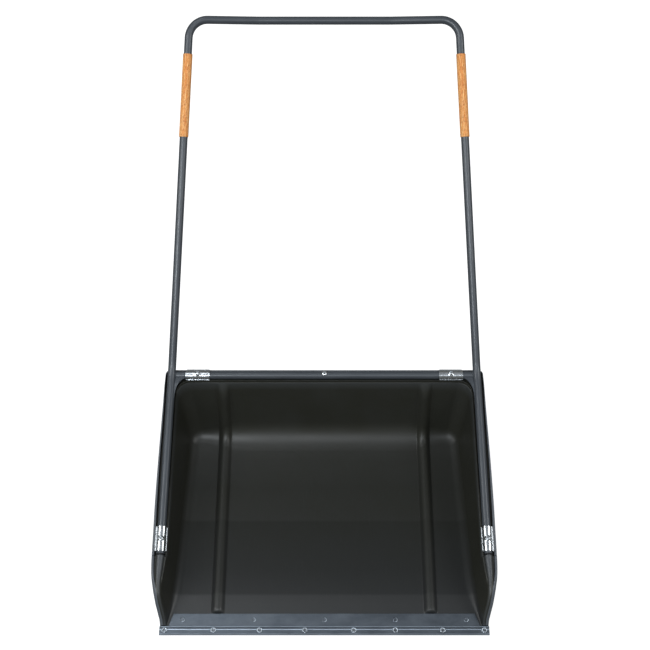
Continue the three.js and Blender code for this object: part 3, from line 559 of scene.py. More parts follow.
def zinc_shader():
    mat = Shader("zinc_plate", slot="zinc_hardware")
    spangle = mat.noise(mat.frame_mm(), size=4.5, detail=2)
    brush = mat.noise(mat.piece_mm(scale=(1 / 0.35, 1 / 0.35, 1 / 14)),
                      size=1, detail=4, rough=0.6)
    stain = mat.noise(mat.frame_mm(), size=7, detail=4, rough=0.6)
    base = mat.mix(mat.span(spangle, within=(0.3, 0.7)),
                   base=(0.55, 0.58, 0.61), tint=(0.63, 0.66, 0.69))
    base = mat.mix(mat.span(stain, within=(0.60, 0.78), to=(0, 0.5)), base,
                   tint=(0.42, 0.43, 0.44))
    mat.put("Base Color", base)
    mat.put("Metallic", 1.0)
    mat.put("Roughness", mat.calc("ADD", mat.span(spangle, within=(0.3, 0.7), to=(0.21, 0.26)),
                                  mat.span(brush, within=(0.3, 0.7), to=(-0.02, 0.03))))
    mat.put("Normal", mat.bump(brush, strength=0.012, distance=0.00005))
    return mat


def steel_shader(name, slot, dark, light, rough, lines=(), ring=None):
    """Steel with painted highlights along chosen arrises and round its heads.

    lines are (y, half width, amount) of painted highlight lines across the sheet; ring is
    (radius, half width, y of the piece's own frame from which it shows) of a painted
    highlight ring on a round head."""
    mat = Shader(name, slot)
    place = mat.frame_mm()
    rolled = mat.noise(mat.frame_mm(scale=(1 / 60, 1 / 0.7, 1 / 0.7)),
                       size=1, detail=5, rough=0.6)
    drag = mat.noise(mat.frame_mm(scale=(1 / 0.8, 1 / 24, 1)), size=1, detail=4, rough=0.7)
    cloud = mat.noise(mat.frame_mm(scale=(1 / 1.6, 1, 1)), size=26, detail=4, rough=0.6)
    base = mat.mix(mat.span(cloud, within=(0.35, 0.68)), base=dark, tint=light)
    base = mat.mix(mat.span(rolled, within=(0.58, 0.75), to=(0, 0.45)), base,
                   tint=tuple(1.25 * c for c in light))
    base = mat.mix(mat.span(drag, within=(0.63, 0.74), to=(0, 0.55)), base,
                   tint=(0.17, 0.185, 0.20))
    blotch = mat.noise(place, size=3.2, detail=5, rough=0.65)
    base = mat.mix(mat.span(blotch, within=(0.62, 0.76), to=(0, 0.35)), base,
                   tint=(0.075, 0.072, 0.070))
    # colour of the painted highlights on the lines and rings below
    painted_glint = tuple(2.6 * c for c in light)
    if lines:
        y = mat.axis(place, 1)
        for line_y, half, amount in lines:
            off = mat.calc("ABSOLUTE", mat.calc("SUBTRACT", y, line_y))
            base = mat.mix(mat.span(off, within=(half, 0.4 * half), to=(0, amount)), base, painted_glint)
    if ring:
        radius, half, start_y = ring
        local = mat.piece_mm()
        x, y = mat.axis(local, 0), mat.axis(local, 1)
        distance = mat.calc("SQRT", mat.calc("ADD", mat.calc("MULTIPLY", x, x),
                                             mat.calc("MULTIPLY", y, y)))
        off = mat.calc("ABSOLUTE", mat.calc("SUBTRACT", distance, radius))
        shown = mat.calc("MULTIPLY", mat.span(off, within=(half, 0.5 * half)),
                         mat.span(y, within=(start_y - 1.2, start_y + 1.2)))
        base = mat.mix(shown, base, painted_glint)
    mat.put("Base Color", base)
    mat.put("Metallic", 0.9)
    mat.put("Roughness", mat.calc(
        "ADD", mat.span(cloud, within=(0.3, 0.7), to=(rough - 0.04, rough + 0.05)),
        mat.span(drag, within=(0.5, 0.8), to=(0.04, -0.08))))
    normal = mat.bump(rolled, strength=0.10, distance=0.0002)
    mat.put("Normal", mat.bump(drag, strength=0.08, distance=0.0002, normal=normal))
    return mat


def grip_shader():
    mat = Shader("grip_sleeve", slot="grip_orange")
    fibre = mat.noise(mat.piece_mm(scale=(1 / 1.6, 1 / 1.6, 1 / 26)),
                      size=1, detail=5, rough=0.66, distort=0.4)
    fleck = mat.noise(mat.piece_mm(scale=(1 / 0.9, 1 / 0.9, 1 / 5.0)),
                      size=1, rough=0.6, distort=0.8)
    cloud = mat.noise(mat.piece_mm(scale=(1, 1, 0.4)), size=10)
    base = mat.mix(mat.span(cloud, within=(0.3, 0.7)),
                   base=(0.68, 0.240, 0.052), tint=(0.80, 0.325, 0.082))
    base = mat.mix(mat.span(fibre, within=(0.48, 0.62), to=(0, 0.95)), base,
                   tint=(0.95, 0.62, 0.27))
    base = mat.mix(mat.span(fleck, within=(0.52, 0.62), to=(0, 0.95)), base,
                   tint=(0.40, 0.100, 0.022))
    mat.put("Base Color", base)
    mat.put("Roughness", mat.span(fibre, within=(0.3, 0.7), to=(0.50, 0.68)))
    mat.put("Specular IOR Level", 0.35)
    normal = mat.bump(fibre, strength=0.30, distance=0.0003)
    mat.put("Normal", mat.bump(fleck, strength=0.20, distance=0.0003, normal=normal))
    return mat


def rubber_shader():
    mat = Shader("plug_rubber", slot="plug_rubber")
    grain = mat.noise(mat.piece_mm(), size=0.8, detail=4, rough=0.6)
    cloud = mat.noise(mat.piece_mm(), size=7)
    mat.put("Base Color", mat.mix(mat.span(cloud, within=(0.3, 0.7)),
                                  base=(0.012, 0.0125, 0.014), tint=(0.022, 0.022, 0.023)))
    mat.put("Roughness", mat.span(grain, within=(0.3, 0.7), to=(0.62, 0.78)))
    mat.put("Normal", mat.bump(grain, strength=0.22, distance=0.0004))
    return mat


PLASTIC = plastic_shader()
COAT = coat_shader()
ZINC = zinc_shader()
# the lines and rings given to these steels are painted highlights on the sheets' arrises and the
# rivet heads
EDGE = steel_shader(
    "edge_sheet", "edge_steel", dark=(0.098, 0.114, 0.136), light=(0.134, 0.155, 0.182),
    rough=0.36, lines=((-222.4, 1.3, 0.75), (-228.0, 1.4, 0.80), (-238.2, 1.2, 0.60)))
FLUSH = steel_shader(
    "flush_rivet", "zinc_hardware", dark=(0.10, 0.116, 0.138), light=(0.15, 0.17, 0.195),
    rough=0.30, ring=(4.5, 1.0, 0.6))
WEAR = steel_shader(
    "wear_sheet", "wear_steel", dark=(0.115, 0.133, 0.155), light=(0.168, 0.189, 0.214),
    rough=0.34, lines=((-239.8, 1.6, 0.8),))
RIVET = steel_shader(
    "rivet_steel", "zinc_hardware", dark=(0.10, 0.112, 0.128), light=(0.20, 0.22, 0.245),
    rough=0.24, ring=(4.7, 1.5, -9.0))
GRIP = grip_shader()
RUBBER = rubber_shader()


# ---------- tub ----------
# The shell is a chain of stations round the rim.  Each is an outline of points in (x,
# depth, z) that runs from the floor's top face over the rim to the floor's underside.
FILLET_N, WALL_N = 10, 5                       # outline points on the fillet and the wall
CROWN_N = 27                                   # points over the crown of the nose
LIP_START = FILLET_N + WALL_N                  # first outline point of the rim
CORNER_N = 22                                  # stations round a back corner
RIB_REACH = 17.4                               # half width of the columns that carry a rib
FAN_X = RIB_X + RIB_REACH
FAN = np.arange(1, 9) / 9                      # places of the columns outside the ribs
RIM_SIDE_BACK = RIM_BACK_OUT - RIM_CORNER_OUT  # depth where the outer corner starts
FLOOR_SIDE_BACK = FLOOR_BACK - BASE_CORNER
INNER_SIDE_BACK = RIM_BACK_IN - RIM_CORNER_IN
FLOOR_X = base_x(FLOOR_SIDE_BACK)
INNER_X = inner_x(INNER_SIDE_BACK)
OUTER_X = outer_x(RIM_SIDE_BACK)

# depths of the side stations along the outer rim
SIDE_DEPTHS = (
    [20, 20.6, 21.6, 23, 25, 27.5, *np.arange(30, 45.1, 2.5), 46.6, 47.6, 48.0, 48.6, 49.3,
     50.2, 51.4, 53, 55, 57.5, *np.arange(60, 145, 2.5), 145.5, 146.5, 147.5, 148.3, 149.0,
     149.5, 149.9, 150.1, 151, 153, *np.arange(158, 554, 7.0), RIM_SIDE_BACK])

# (distance from the rib's middle line, height) on the top face and the underside
rib_high = curve([(0, 9.8), (2.5, 9.6), (4.6, 9.1), (8, 7.2), (11, 4.4), (13.6, 1.5),
                  (15.2, 0.25), (16.4, 0), (40, 0)])
rib_low = curve([(0, 9.8), (4.8, 8.6), (7.0, 6.2), (8.0, 4.0), (9.1, 0.2), (9.6, 0), (40, 0)])
# (depth, share of the height) at the rib's front end
rib_front = curve([(0, 0), (47.6, 0.0), (48.3, 0.22), (49.6, 0.56), (51.6, 0.82),
                   (54.5, 0.95), (58, 0.99), (62, 1), (900, 1)])
# (distance below the wall's top, share of the height) at its upper end
rib_top = curve([(0, 0.05), (1.5, 0.40), (4, 0.74), (9, 0.92), (16, 1), (900, 1)])

# (distance from the inner edge, height over the channel, corner radius): ledge, inner lip
INNER_LIP = [
    (0.7, LEDGE_H, 0.3), (1.6, LEDGE_H, 0.3), (1.9, LIP_IN_H - 0.8, 0.5), (2.5, LIP_IN_H, 0.4),
    (3.0, LIP_IN_H, 0.4), (3.3, LIP_IN_H - 0.8, 0.5), (3.9, 0, 0.9)]
# (distance from the crown's outer foot or, with "out", from the outer edge, fall from the
# nose line): groove and lip beside the crown
NOSE_GROOVE = [(0.12, 12), (0.25, 14.2), (0.45, 15)]
NOSE_LIP = [
    (-6.5, 15), (-6.3, 14.4), (-6.15, 13), (-5.9, 10.9), (-5.5, 9.8), (-4.9, 9.1), (-4.1, 8.78),
    (-2.9, 8.66), (-1.7, 8.7), (-0.9, 8.95), (-0.3, 9.35), (0, 9.9)]


def outer_lip(depth):
    """(distance from the outer edge, height over the channel, corner radius) rows."""
    width = lerp(7.0, 4.9, float(smooth(470, 540, depth)))
    return [(-width, 0, 0.8), (0.8 - width, 1, 0.7), (1.2 - width, LIP_OUT_H - 1.6, 0.9),
            (2.4 - width, LIP_OUT_H - 0.1, 0.9), (-1.5, LIP_OUT_H, 0.9),
            (0, LIP_OUT_H - 1.2, 0.9), (0, LIP_OUT_H - 4, 0)]


def station(base, outward, inner, outer, fillet, channel=True, dip=0.0, foot=None):
    """Outline of the shell at one station, where its wall leaves the floor's plane square
    to the floor's edge, the top of its inner wall and the wall's angle.

    base, inner and outer are plan points, outward the plan direction square to the
    floor's edge, foot the plan point where the floor ends, if not on the fillet."""
    if channel:
        inner_z, outer_z = rail_z(inner[1]), rail_z(outer[1])
    else:
        inner_z, outer_z = nose_top(inner[1]) - dip, nose_top(outer[1]) - dip
    across = outer - inner
    width = np.linalg.norm(across)
    across = across / width
    # nose: 1 = a round crown carries on the tube's line beside the lip, 0 = one crowned band
    apart = float(smooth(72, 128, outer[1]))
    crown = min(6, 0.3 * width, inner_z - 5.3)

    def fall(reach, low):
        return lerp(crown * abs(2 * reach / width - 1) ** 2.6, low, apart)

    def rim_point(start, reach, z):
        return vec(start[0] + across[0] * reach, start[1] + across[1] * reach, z)

    def nose_point(reach, low):
        return rim_point(inner, reach, lerp(inner_z, outer_z, reach / width) - fall(reach, low))

    wall_top = inner_z + LEDGE_H - LEDGE_DROP if channel else inner_z - fall(0, TUBE_R)
    rise = max(1.2, wall_top - FLOOR_T)
    run = max(0.4, float((inner - base) @ outward))
    angle = math.atan2(rise, run)
    radius = min(fillet, 0.85 * math.hypot(rise, run) / math.tan(angle / 2))
    reach = radius * math.tan(angle / 2)
    knee, top = np.append(base, FLOOR_T), np.append(inner, FLOOR_T + rise)
    square = np.append(outward, 0)
    climb = (top - knee) / math.hypot(run, rise)     # per unit of length in the square plane
    pull = (4 / 3) * math.tan(angle / 4) / math.tan(angle / 2)
    start, end = knee - square * reach, knee + climb * reach
    if foot is not None:
        start = np.append(foot, FLOOR_T)
    along = knee - start
    floor_reach = np.linalg.norm(along)
    along = along / floor_reach
    upper = bezier(start, start + along * floor_reach * pull, end - climb * reach * pull,
                   end, FILLET_N)
    wall = [lerp(end, top, t) for t in np.linspace(0, 1, WALL_N + 2)[1:-1]]
    if channel:
        rows = [wall[-1], np.append(inner, wall_top)]
        radii = [0, 0.5]
        for edge, edge_z, lip_rows in ((inner, inner_z, INNER_LIP),
                                       (outer, outer_z, outer_lip(outer[1]))):
            for distance, height, corner in lip_rows:
                rows.append(rim_point(edge, distance, edge_z + height))
                radii.append(corner)
        lip = round_corners(rows, radii)
        top_out = outer_z + LIP_OUT_H - 1.2
    else:
        # crown, groove and lip of the nose; the same number of points as the open rim
        crown_width = width - 7.3
        lip = []
        for i in range(CROWN_N):
            turn = math.pi * (1 - i / (CROWN_N - 1))
            distance = crown_width * (1 + math.cos(turn)) / 2
            off = (distance - 0.53 * crown_width) / (0.385 * crown_width)
            lip.append(nose_point(distance, TUBE_R * (1 - math.sqrt(max(0.0, 1 - off * off)))))
        lip += [nose_point(crown_width + d, low) for d, low in NOSE_GROOVE]
        lip += [nose_point(width + d, low) for d, low in NOSE_LIP]
        top_out = outer_z - fall(width, 9.9)

    def under(point):
        shelf = rail_z(point[1]) - CHANNEL_T
        return max(lerp(1.2, shelf, smooth(22, 100, point[1])), 1.2)

    skirt_z = min(top_out - 0.6, under(outer))
    out_of_wall = vec(0, 0, 1) * (-math.cos(angle)) + square * math.sin(angle)
    low_start, low_end = vec(start[0], start[1], 0), end + out_of_wall * FLOOR_T
    shelf_z = max(low_end[2] + 0.3, min(under(inner), wall_top - 1.2))
    shelf = low_end + climb * ((shelf_z - low_end[2]) / climb[2])
    skirt = round_corners([rim_point(outer, 0, top_out), rim_point(outer, 0, skirt_z),
                           shelf, low_end], [0, 1.2, 2.0, 0])
    outer_wall = [lerp(skirt[-1], low_end, 0.25), lerp(shelf, low_end, 0.5),
                  lerp(shelf, low_end, 0.75)]
    low_reach = (radius + FLOOR_T) * math.tan(angle / 2)
    lower = bezier(
        low_start,
        low_start + along * (floor_reach + FLOOR_T * math.tan(angle / 2)) * pull,
        low_end - climb * low_reach * pull, low_end, FILLET_N)[::-1]
    outline = np.array([*upper, *wall, *lip, *skirt, *outer_wall, *lower])
    return outline, top, angle


def side_stations():
    """The right side, front to back."""
    out = []
    for depth in SIDE_DEPTHS:
        share = (depth - FLOOR_FRONT) / (RIM_SIDE_BACK - FLOOR_FRONT)

        def fan(back):
            return lerp(depth, lerp(FLOOR_FRONT, back, share), smooth(80, 400, depth))

        floor_depth, inner_depth = fan(FLOOR_SIDE_BACK), fan(INNER_SIDE_BACK)
        # the nose rounds over where the channel opens
        round_start = NOSE_BACK - 3
        dip = 0.0
        if round_start < depth < NOSE_BACK:
            dip = 3.0 - math.sqrt(max(0.0, 9.0 - (depth - round_start) ** 2))
        out.append(station(
            vec(base_x(floor_depth), floor_depth), vec(1, 0),
            vec(inner_x(inner_depth), inner_depth), vec(outer_x(depth), depth),
            lerp(2.2, FILLET_SIDE, smooth(18, 110, floor_depth)),
            channel=depth >= NOSE_BACK, dip=dip)[0])
    return out


def corner_stations(last_side):
    """Round the back right corner; last_side is the outline before it."""
    wall_angle = math.atan2(rail_z(RIM_BACK_IN) + LEDGE_H - LEDGE_DROP - FLOOR_T,
                            RIM_BACK_IN - FLOOR_BACK)
    side_reach = FLOOR_X - last_side[0][0]           # of the fillet into the floor
    back_reach = FILLET_CORNER * math.tan(wall_angle / 2)
    base_centre = vec(FLOOR_X, FLOOR_BACK) - BASE_CORNER * vec(1, 1)
    inner_centre = vec(INNER_X, RIM_BACK_IN) - RIM_CORNER_IN * vec(1, 1)
    outer_centre = vec(OUTER_X, RIM_BACK_OUT) - RIM_CORNER_OUT * vec(1, 1)
    out = []
    for k in range(1, CORNER_N + 1):
        turn = (math.pi / 2) * k / CORNER_N
        way = vec(math.cos(turn), math.sin(turn))
        out.append(station(
            base_centre + BASE_CORNER * way, way, inner_centre + RIM_CORNER_IN * way,
            outer_centre + RIM_CORNER_OUT * way,
            lerp(FILLET_SIDE, FILLET_CORNER, smooth(0, 1, k / CORNER_N)),
            foot=base_centre + vec((BASE_CORNER - side_reach) * way[0],
                                   (BASE_CORNER - back_reach) * way[1]))[0])
    return out


def back_station(x, x_inner, x_outer):
    """A station of the straight back."""
    fillet = lerp(FILLET_BACK, FILLET_CORNER,
                  float(smooth(205, FLOOR_X - BASE_CORNER, abs(x))))
    return station(vec(x, FLOOR_BACK), vec(0, 1), vec(x_inner, RIM_BACK_IN),
                   vec(x_outer, RIM_BACK_OUT), fillet)


def fan_stations():
    """From the back right corner in to the columns of constant x."""
    return [back_station(lerp(FLOOR_X - BASE_CORNER, FAN_X, t),
                         lerp(INNER_X - RIM_CORNER_IN, FAN_X, t),
                         lerp(OUTER_X - RIM_CORNER_OUT, FAN_X, t))[0] for t in FAN]


def column_places():
    """x of the floor's columns from right to left, close together at the ribs."""
    half = np.concatenate([np.arange(0, 4.1, 1.3), np.arange(5.0, 16.3, 0.75), [RIB_REACH]])
    rib = np.concatenate([-half[::-1], half[1:]])
    between = np.linspace(-RIB_X + RIB_REACH, RIB_X - RIB_REACH, 30)[1:-1]
    return np.concatenate([-RIB_X + rib, between, RIB_X + rib])[::-1]


COLUMNS = column_places()


def from_rib(x):
    return np.minimum(abs(x - RIB_X), abs(x + RIB_X))


def rib_station(x):
    """A station of the straight back with the ribs pressed into both faces of its wall."""
    outline, top, angle = back_station(x, x, x)
    off = from_rib(x)
    high, low = float(rib_high(off)), float(rib_low(off))

    def wall_normal(k):
        turn = angle * k / (FILLET_N - 1) if k < FILLET_N else angle
        return vec(0, -math.sin(turn), math.cos(turn))

    if high > 0:
        for i in range(FILLET_N + WALL_N):
            on_wall = i >= FILLET_N - 1
            below = (top - outline[i])[1] / math.cos(angle) if on_wall else 999
            outline[i] += wall_normal(i) * high * float(rib_top(max(0, below)))
    if low > 0:
        for k in range(FILLET_N + 4):
            i = len(outline) - 1 - k
            below = math.hypot(*(top - outline[i])[1:]) if k >= FILLET_N - 1 else 999
            outline[i] += wall_normal(k) * low * float(smooth(20, 34, below))
    return outline


def floor_grid(chain, rows, low):
    """Rows of floor points from each station to its mirror, on the top face or underside."""
    end = -1 if low else 0
    back_edge = np.array([outline[end] for outline in chain[rows - 1:len(chain) - rows + 1]])
    top_edge = np.array([outline[0] for outline in chain[rows - 1:len(chain) - rows + 1]])
    edge_x, edge_depth = top_edge[:, 0], top_edge[:, 1]
    bow_start = 300.0
    grid = []
    for outline in chain[:rows - 1]:
        x, depth = outline[end][:2]
        fan = lerp(x, FAN_X, FAN)
        xs = np.concatenate([[x], fan, COLUMNS, -fan[::-1], [-x]])
        # rows bow forward in the middle near the back bend, whose radius is larger there
        if depth >= bow_start:
            edge = np.interp(xs, edge_x[::-1], edge_depth[::-1])
            depth = bow_start + ((depth - bow_start) * (edge - bow_start)
                                 / (edge_depth[0] - bow_start))
        depths = np.broadcast_to(depth, xs.shape)
        if low:
            z = rib_low(from_rib(xs)) * smooth(62, 74, depths)
        else:
            z = FLOOR_T + rib_high(from_rib(xs)) * rib_front(depths)
        grid.append(np.stack([xs, depths, z], 1))
    return grid + [back_edge]


def rim_painted_highlight(chain):
    """Painted highlight of each outline point, in x: full on the outer lip, a little on the ledge.
    """
    line = np.zeros(len(chain[0]))
    line[LIP_START + 31:LIP_START + 42] = 1
    line[LIP_START + 42:LIP_START + 45] = 0.5
    line[LIP_START:LIP_START + 5] = 0.22
    painted_rim_highlight = np.tile(line, (len(chain), 1))
    # the crown of the nose gets the painted highlight as well, less towards its tip
    crest = np.exp(-((np.arange(CROWN_N) - 12.6) / 5.2) ** 4)
    for outline, rim_glint in zip(chain, painted_rim_highlight):
        depth = float(outline[-1 - FILLET_N][1])
        if depth < NOSE_BACK - 1:
            rim_glint[LIP_START:LIP_START + 5] = 0
            crown = rim_glint[LIP_START:LIP_START + CROWN_N]
            crown[:] = np.maximum(crown, crest * (0.25 + 0.35 * float(smooth(70, 120, depth))))
    return painted_rim_highlight.ravel()


def build_tub():
    half = side_stations()
    half += corner_stations(half[-1])
    rows = len(half)                               # rows of the floor
    half += fan_stations()
    mirrored = [outline * vec(-1, 1, 1) for outline in half[::-1]]
    chain = half + [rib_station(x) for x in COLUMNS] + mirrored
    count = len(chain[0])
    index = np.arange(len(chain) * count).reshape(len(chain), count)
    points = [np.vstack(chain)]
    faces = []
    for a, b in zip(index[:-1], index[1:]):
        faces += strip(a, b)
    faces += [list(index[0]), list(index[-1])]
    used = index.size
    fronts = []
    for low in (False, True):
        grid = floor_grid(chain, rows, low)
        across = len(grid[0])
        index = np.arange(used, used + rows * across).reshape(rows, across)
        points.append(np.vstack(grid))
        used += rows * across
        for a, b in zip(index[:-1], index[1:]):
            faces += strip(a, b)
        fronts.append(grid[0])
    # front edge of the floor
    points += fronts
    faces += strip(range(used, used + across), range(used + across, used + 2 * across))
    points = np.vstack(points)
    points[:, 1] -= ORIGIN
    # painted rim highlight, passed to the shader in loc's x
    painted_rim_highlight = np.zeros((len(points), 3))
    rim_glint = rim_painted_highlight(chain)
    painted_rim_highlight[:len(rim_glint), 0] = rim_glint
    make("tub_shell", points, faces, PLASTIC, "tub", painted_rim_highlight, sharp=34, weld=0.004)


build_tub()


# ---------- tube frame ----------
TUBE_SEG = 48
KNEE_DEPTH = (BEND_DEPTH
              + BEND_R * math.tan((LEG_ANGLE - SLOPE_ANGLE) / 2) * math.cos(SLOPE_ANGLE))
CROSS_Y = CROSS_DEPTH - ORIGIN


def leg_way(side):
    return unit(vec(-side * LEG_SPLAY, math.cos(LEG_ANGLE), math.sin(LEG_ANGLE)))


def foot_at(side):
    return vec(side * tube_x(TUBE_FRONT), TUBE_FRONT - ORIGIN, tube_z(TUBE_FRONT))


def knee_at(side):
    return vec(side * (TUBE_X + (CROSS_DEPTH - KNEE_DEPTH) * TUBE_TAPER), KNEE_DEPTH - ORIGIN,
               TUBE_Z + (KNEE_DEPTH - LEVEL_DEPTH) * RIM_SLOPE)


def corner_at(side):
    way = leg_way(side)
    return knee_at(side) + way * LEG_LEN / way[1] * math.cos(LEG_ANGLE)


def build_handle():
    bow = vec(0, math.sin(LEG_ANGLE), -math.cos(LEG_ANGLE)) * BAR_OFFSET
    middle = vec(0, *corner_at(1)[1:]) + bow
    path, tangents = rounded_path([
        (foot_at(-1), 0), (knee_at(-1), BEND_R), (corner_at(-1), CORNER_R),
        (middle - vec(BAR_KINK, 0, 0), KINK_R), (middle + vec(BAR_KINK, 0, 0), KINK_R),
        (corner_at(1), CORNER_R), (knee_at(1), BEND_R), (foot_at(1), 0)])
    last = len(path) - 1
    ease = 0.4                                       # radius of the outer edge at the ends
    rings = []
    for i in range(4):
        turn = i / 4 * math.pi / 2
        rings.append((0, TUBE_R - ease * (1 - math.sin(turn)), ease * (1 - math.cos(turn))))
    rings.append((0, TUBE_R, ease))
    rings += [(i, TUBE_R, 0) for i in range(1, last)]
    rings.append((last, TUBE_R, -ease))
    for i in range(1, 5):
        turn = i / 4 * math.pi / 2
        rings.append((last, TUBE_R - ease * (1 - math.cos(turn)), -ease * (1 - math.sin(turn))))
    rings += [(i, TUBE_R - TUBE_WALL, 0) for i in range(last, -1, -1)]
    points, faces, loc = swept(path, tangents, rings, seg=TUBE_SEG)
    make("handle_bar", points, faces, COAT, "handle_tube", loc)


build_handle()

# middle lines of the legs
LEG_LINES = {side: rounded_path([(foot_at(side), 0), (knee_at(side), BEND_R),
                                 (corner_at(side), 0)], gap=3.0)[0] for side in (-1, 1)}


def leg_distance(point, side):
    line = LEG_LINES[side]
    start, way = line[:-1], np.diff(line, axis=0)
    t = np.clip(((point - start) * way).sum(1) / (way * way).sum(1), 0, 1)
    return float(np.min(np.linalg.norm(start + way * t[:, None] - point, axis=1)))


def cope_x(y, z, side, gap):
    """Distance from x = 0 where a line along X at (y, z) comes within gap of the leg."""
    low, high = 325.0, 346.0
    if leg_distance(vec(side * high, y, z), side) > TUBE_R + gap:
        return 341.0
    for _ in range(22):
        middle = (low + high) / 2
        if leg_distance(vec(side * middle, y, z), side) > TUBE_R + gap:
            low = middle
        else:
            high = middle
    return high


def weld_bead(path):
    """A rippled bead along a closed path."""
    radius, pitch = 1.35, 2.1
    path = np.array(path, float)
    return swept(path, np.roll(path, -1, 0) - np.roll(path, 1, 0),
                 [(i, radius, 0) for i in range(len(path))], seg=14,
                 ripple=lambda length: 0.16 * radius * math.sin(2 * math.pi * length / pitch))


def build_cross_tube():
    """Cross tube coped to the legs, with a weld bead at each end."""
    angles = circle(TUBE_SEG)

    def coped(side, radius):
        ring = []
        for a in angles:
            y, z = CROSS_Y + radius * math.cos(a), CROSS_Z + radius * math.sin(a)
            ring.append([side * cope_x(y, z, side, 0.25), y, z])
        return np.array(ring)

    def plain(x, radius):
        return np.stack([np.full(TUBE_SEG, x), CROSS_Y + radius * np.cos(angles),
                         CROSS_Z + radius * np.sin(angles)], 1)

    bore = TUBE_R - TUBE_WALL
    xs = np.linspace(-325, 325, 45)
    rings = [coped(-1, TUBE_R)] + [plain(x, TUBE_R) for x in xs] + [coped(1, TUBE_R)]
    rings += [coped(1, bore)] + [plain(x, bore) for x in xs[::-1]] + [coped(-1, bore)]
    tube = np.vstack(rings)
    loc = np.stack([tube[:, 1] - CROSS_Y, tube[:, 2] - CROSS_Z, tube[:, 0]], 1)
    shells = [(tube, ring_faces(len(rings), TUBE_SEG), loc)]
    for side in (-1, 1):
        path = []
        for a in circle(120):
            y = CROSS_Y + (TUBE_R + 0.2) * math.cos(a)
            z = CROSS_Z + (TUBE_R + 0.2) * math.sin(a)
            path.append(vec(side * (cope_x(y, z, side, 0.2) - 0.2), y, z))
        shells.append(weld_bead(path))
    faces, used = [], 0
    for points, shell_faces, _ in shells:
        faces += [tuple(int(i) + used for i in face) for face in shell_faces]
        used += len(points)
    make("cross_bar", np.vstack([shell[0] for shell in shells]), faces, COAT, "cross_tube",
         np.vstack([shell[2] for shell in shells]))


build_cross_tube()


def build_gusset(side, side_name):
    """Flat corner web with a hollow edge between a leg and the cross tube."""
    end_x, front = 305, 497                # where the web ends on the cross tube and the leg
    hollow_x, hollow_depth = 33, 52        # half axes of the hollow edge
    thick, above, gap = 2.5, 2.2, 0.3      # above: underside over the cross tube's axis
    leg_share = 0.62                       # share of the hollow edge that faces the leg
    edge_n, across_n = 40, 14
    underside = CROSS_Z + above

    def lift(depth):
        return min(0.0, depth - LEVEL_DEPTH) * RIM_SLOPE

    def leg_x(depth, z):
        return cope_x(depth - ORIGIN, z, side, gap)

    grids = []
    for z in (underside + thick, underside):
        half = math.sqrt(max(0, (TUBE_R + gap) ** 2 - (z - CROSS_Z) ** 2))
        cross = CROSS_DEPTH - half
        grid = []
        for k, a in enumerate(np.linspace(0, math.pi / 2, edge_n)):
            t = k / (edge_n - 1)
            hollow = vec(end_x + hollow_x * math.cos(a), front + hollow_depth * math.sin(a))
            if t < leg_share:
                depth = min(lerp(front, cross, t / leg_share), cross)
                edge = vec(leg_x(depth, z + lift(depth)), depth)
            else:
                along = (t - leg_share) / 0.38
                edge = vec(lerp(leg_x(cross, z), end_x, along), cross)
            row = [lerp(hollow, edge, j / across_n) for j in range(across_n + 1)]
            grid.append([vec(side * x, depth - ORIGIN, z + lift(depth)) for x, depth in row])
        grids.append(np.array(grid))
    points, faces = slab(*grids)
    make("web_" + side_name, points, faces, COAT, "corner_gusset_" + side_name, points,
         bevel=(0.45, 2, 60))


for side, side_name in SIDES:
    build_gusset(side, side_name)


# ---------- sleeves and plugs ----------
def build_sleeve(side, side_name):
    start, length, outer, ease = 531.5, 185, TUBE_R + 1.5, 0.5
    profile = [(TUBE_R + 0.2, 0.4), (TUBE_R + 0.6, 0.0)]
    profile += [(outer - ease * (1 - math.sin(t)), ease * (1 - math.cos(t)))
                for t in np.linspace(0.1, math.pi / 2, 5)]
    profile += [(outer, z) for z in np.linspace(1.5, length - 1.5, 60)]
    profile += [(outer - ease * (1 - math.cos(t)), length - ease * (1 - math.sin(t)))
                for t in np.linspace(0, math.pi / 2 - 0.1, 5)]
    profile += [(TUBE_R + 0.6, length), (TUBE_R + 0.2, length - 0.4)]

    def wobble(a, z):
        """A soft sleeve is never quite round."""
        return 0.006 * math.sin(2 * a + 0.03 * z + side) + 0.004 * math.sin(3 * a - 0.05 * z)

    turned("sleeve_" + side_name, profile, knee_at(side) + leg_way(side) * start, leg_way(side),
           GRIP, "grip_" + side_name, seg=72, closed=True, wobble=wobble)


def build_plug(side, side_name):
    """Domed cap and a ribbed stem inside the tube's front end."""
    profile = [(0, -2.3), (3.0, -2.5), (6.6, -2.6), (8.0, -2.2), (8.8, -1.5), (8.8, -0.3),
               (7.15, -0.25), (7.15, 1.2), (6.95, 1.6)]
    for z in (3, 6, 9, 12):
        profile += [(6.8, z), (7.15, z + 0.5), (7.15, z + 1.1), (6.8, z + 1.6)]
    profile += [(6.6, 16), (0, 16)]
    turned("end_plug_" + side_name, soften(profile, 0.35), foot_at(side),
           unit(knee_at(side) - foot_at(side)), RUBBER, "tube_plug_" + side_name)


for side, side_name in SIDES:
    build_sleeve(side, side_name)
    build_plug(side, side_name)


# ---------- metal edge ----------
EDGE_HALF = span("edge_plate")[1][0]
SHEET_T, STRIP_T = 1.5, 2.5
SHEET_FRONT_Z, SHEET_BACK_Z = STRIP_T + 0.15, FLOOR_T + 0.1   # underside on strip, on floor
STRIP_BACK, PLATE_BACK = 19.2, 47.0
FLUSH_DEPTH, RING_DEPTH = 33.0, 10.2
FLUSH_XS = (-305, -152.5, 0, 152.5, 305)
RING_XS = (-343, -238, -139, -42, 63, 152, 254, 343)
UP = vec(0, 0, 1)


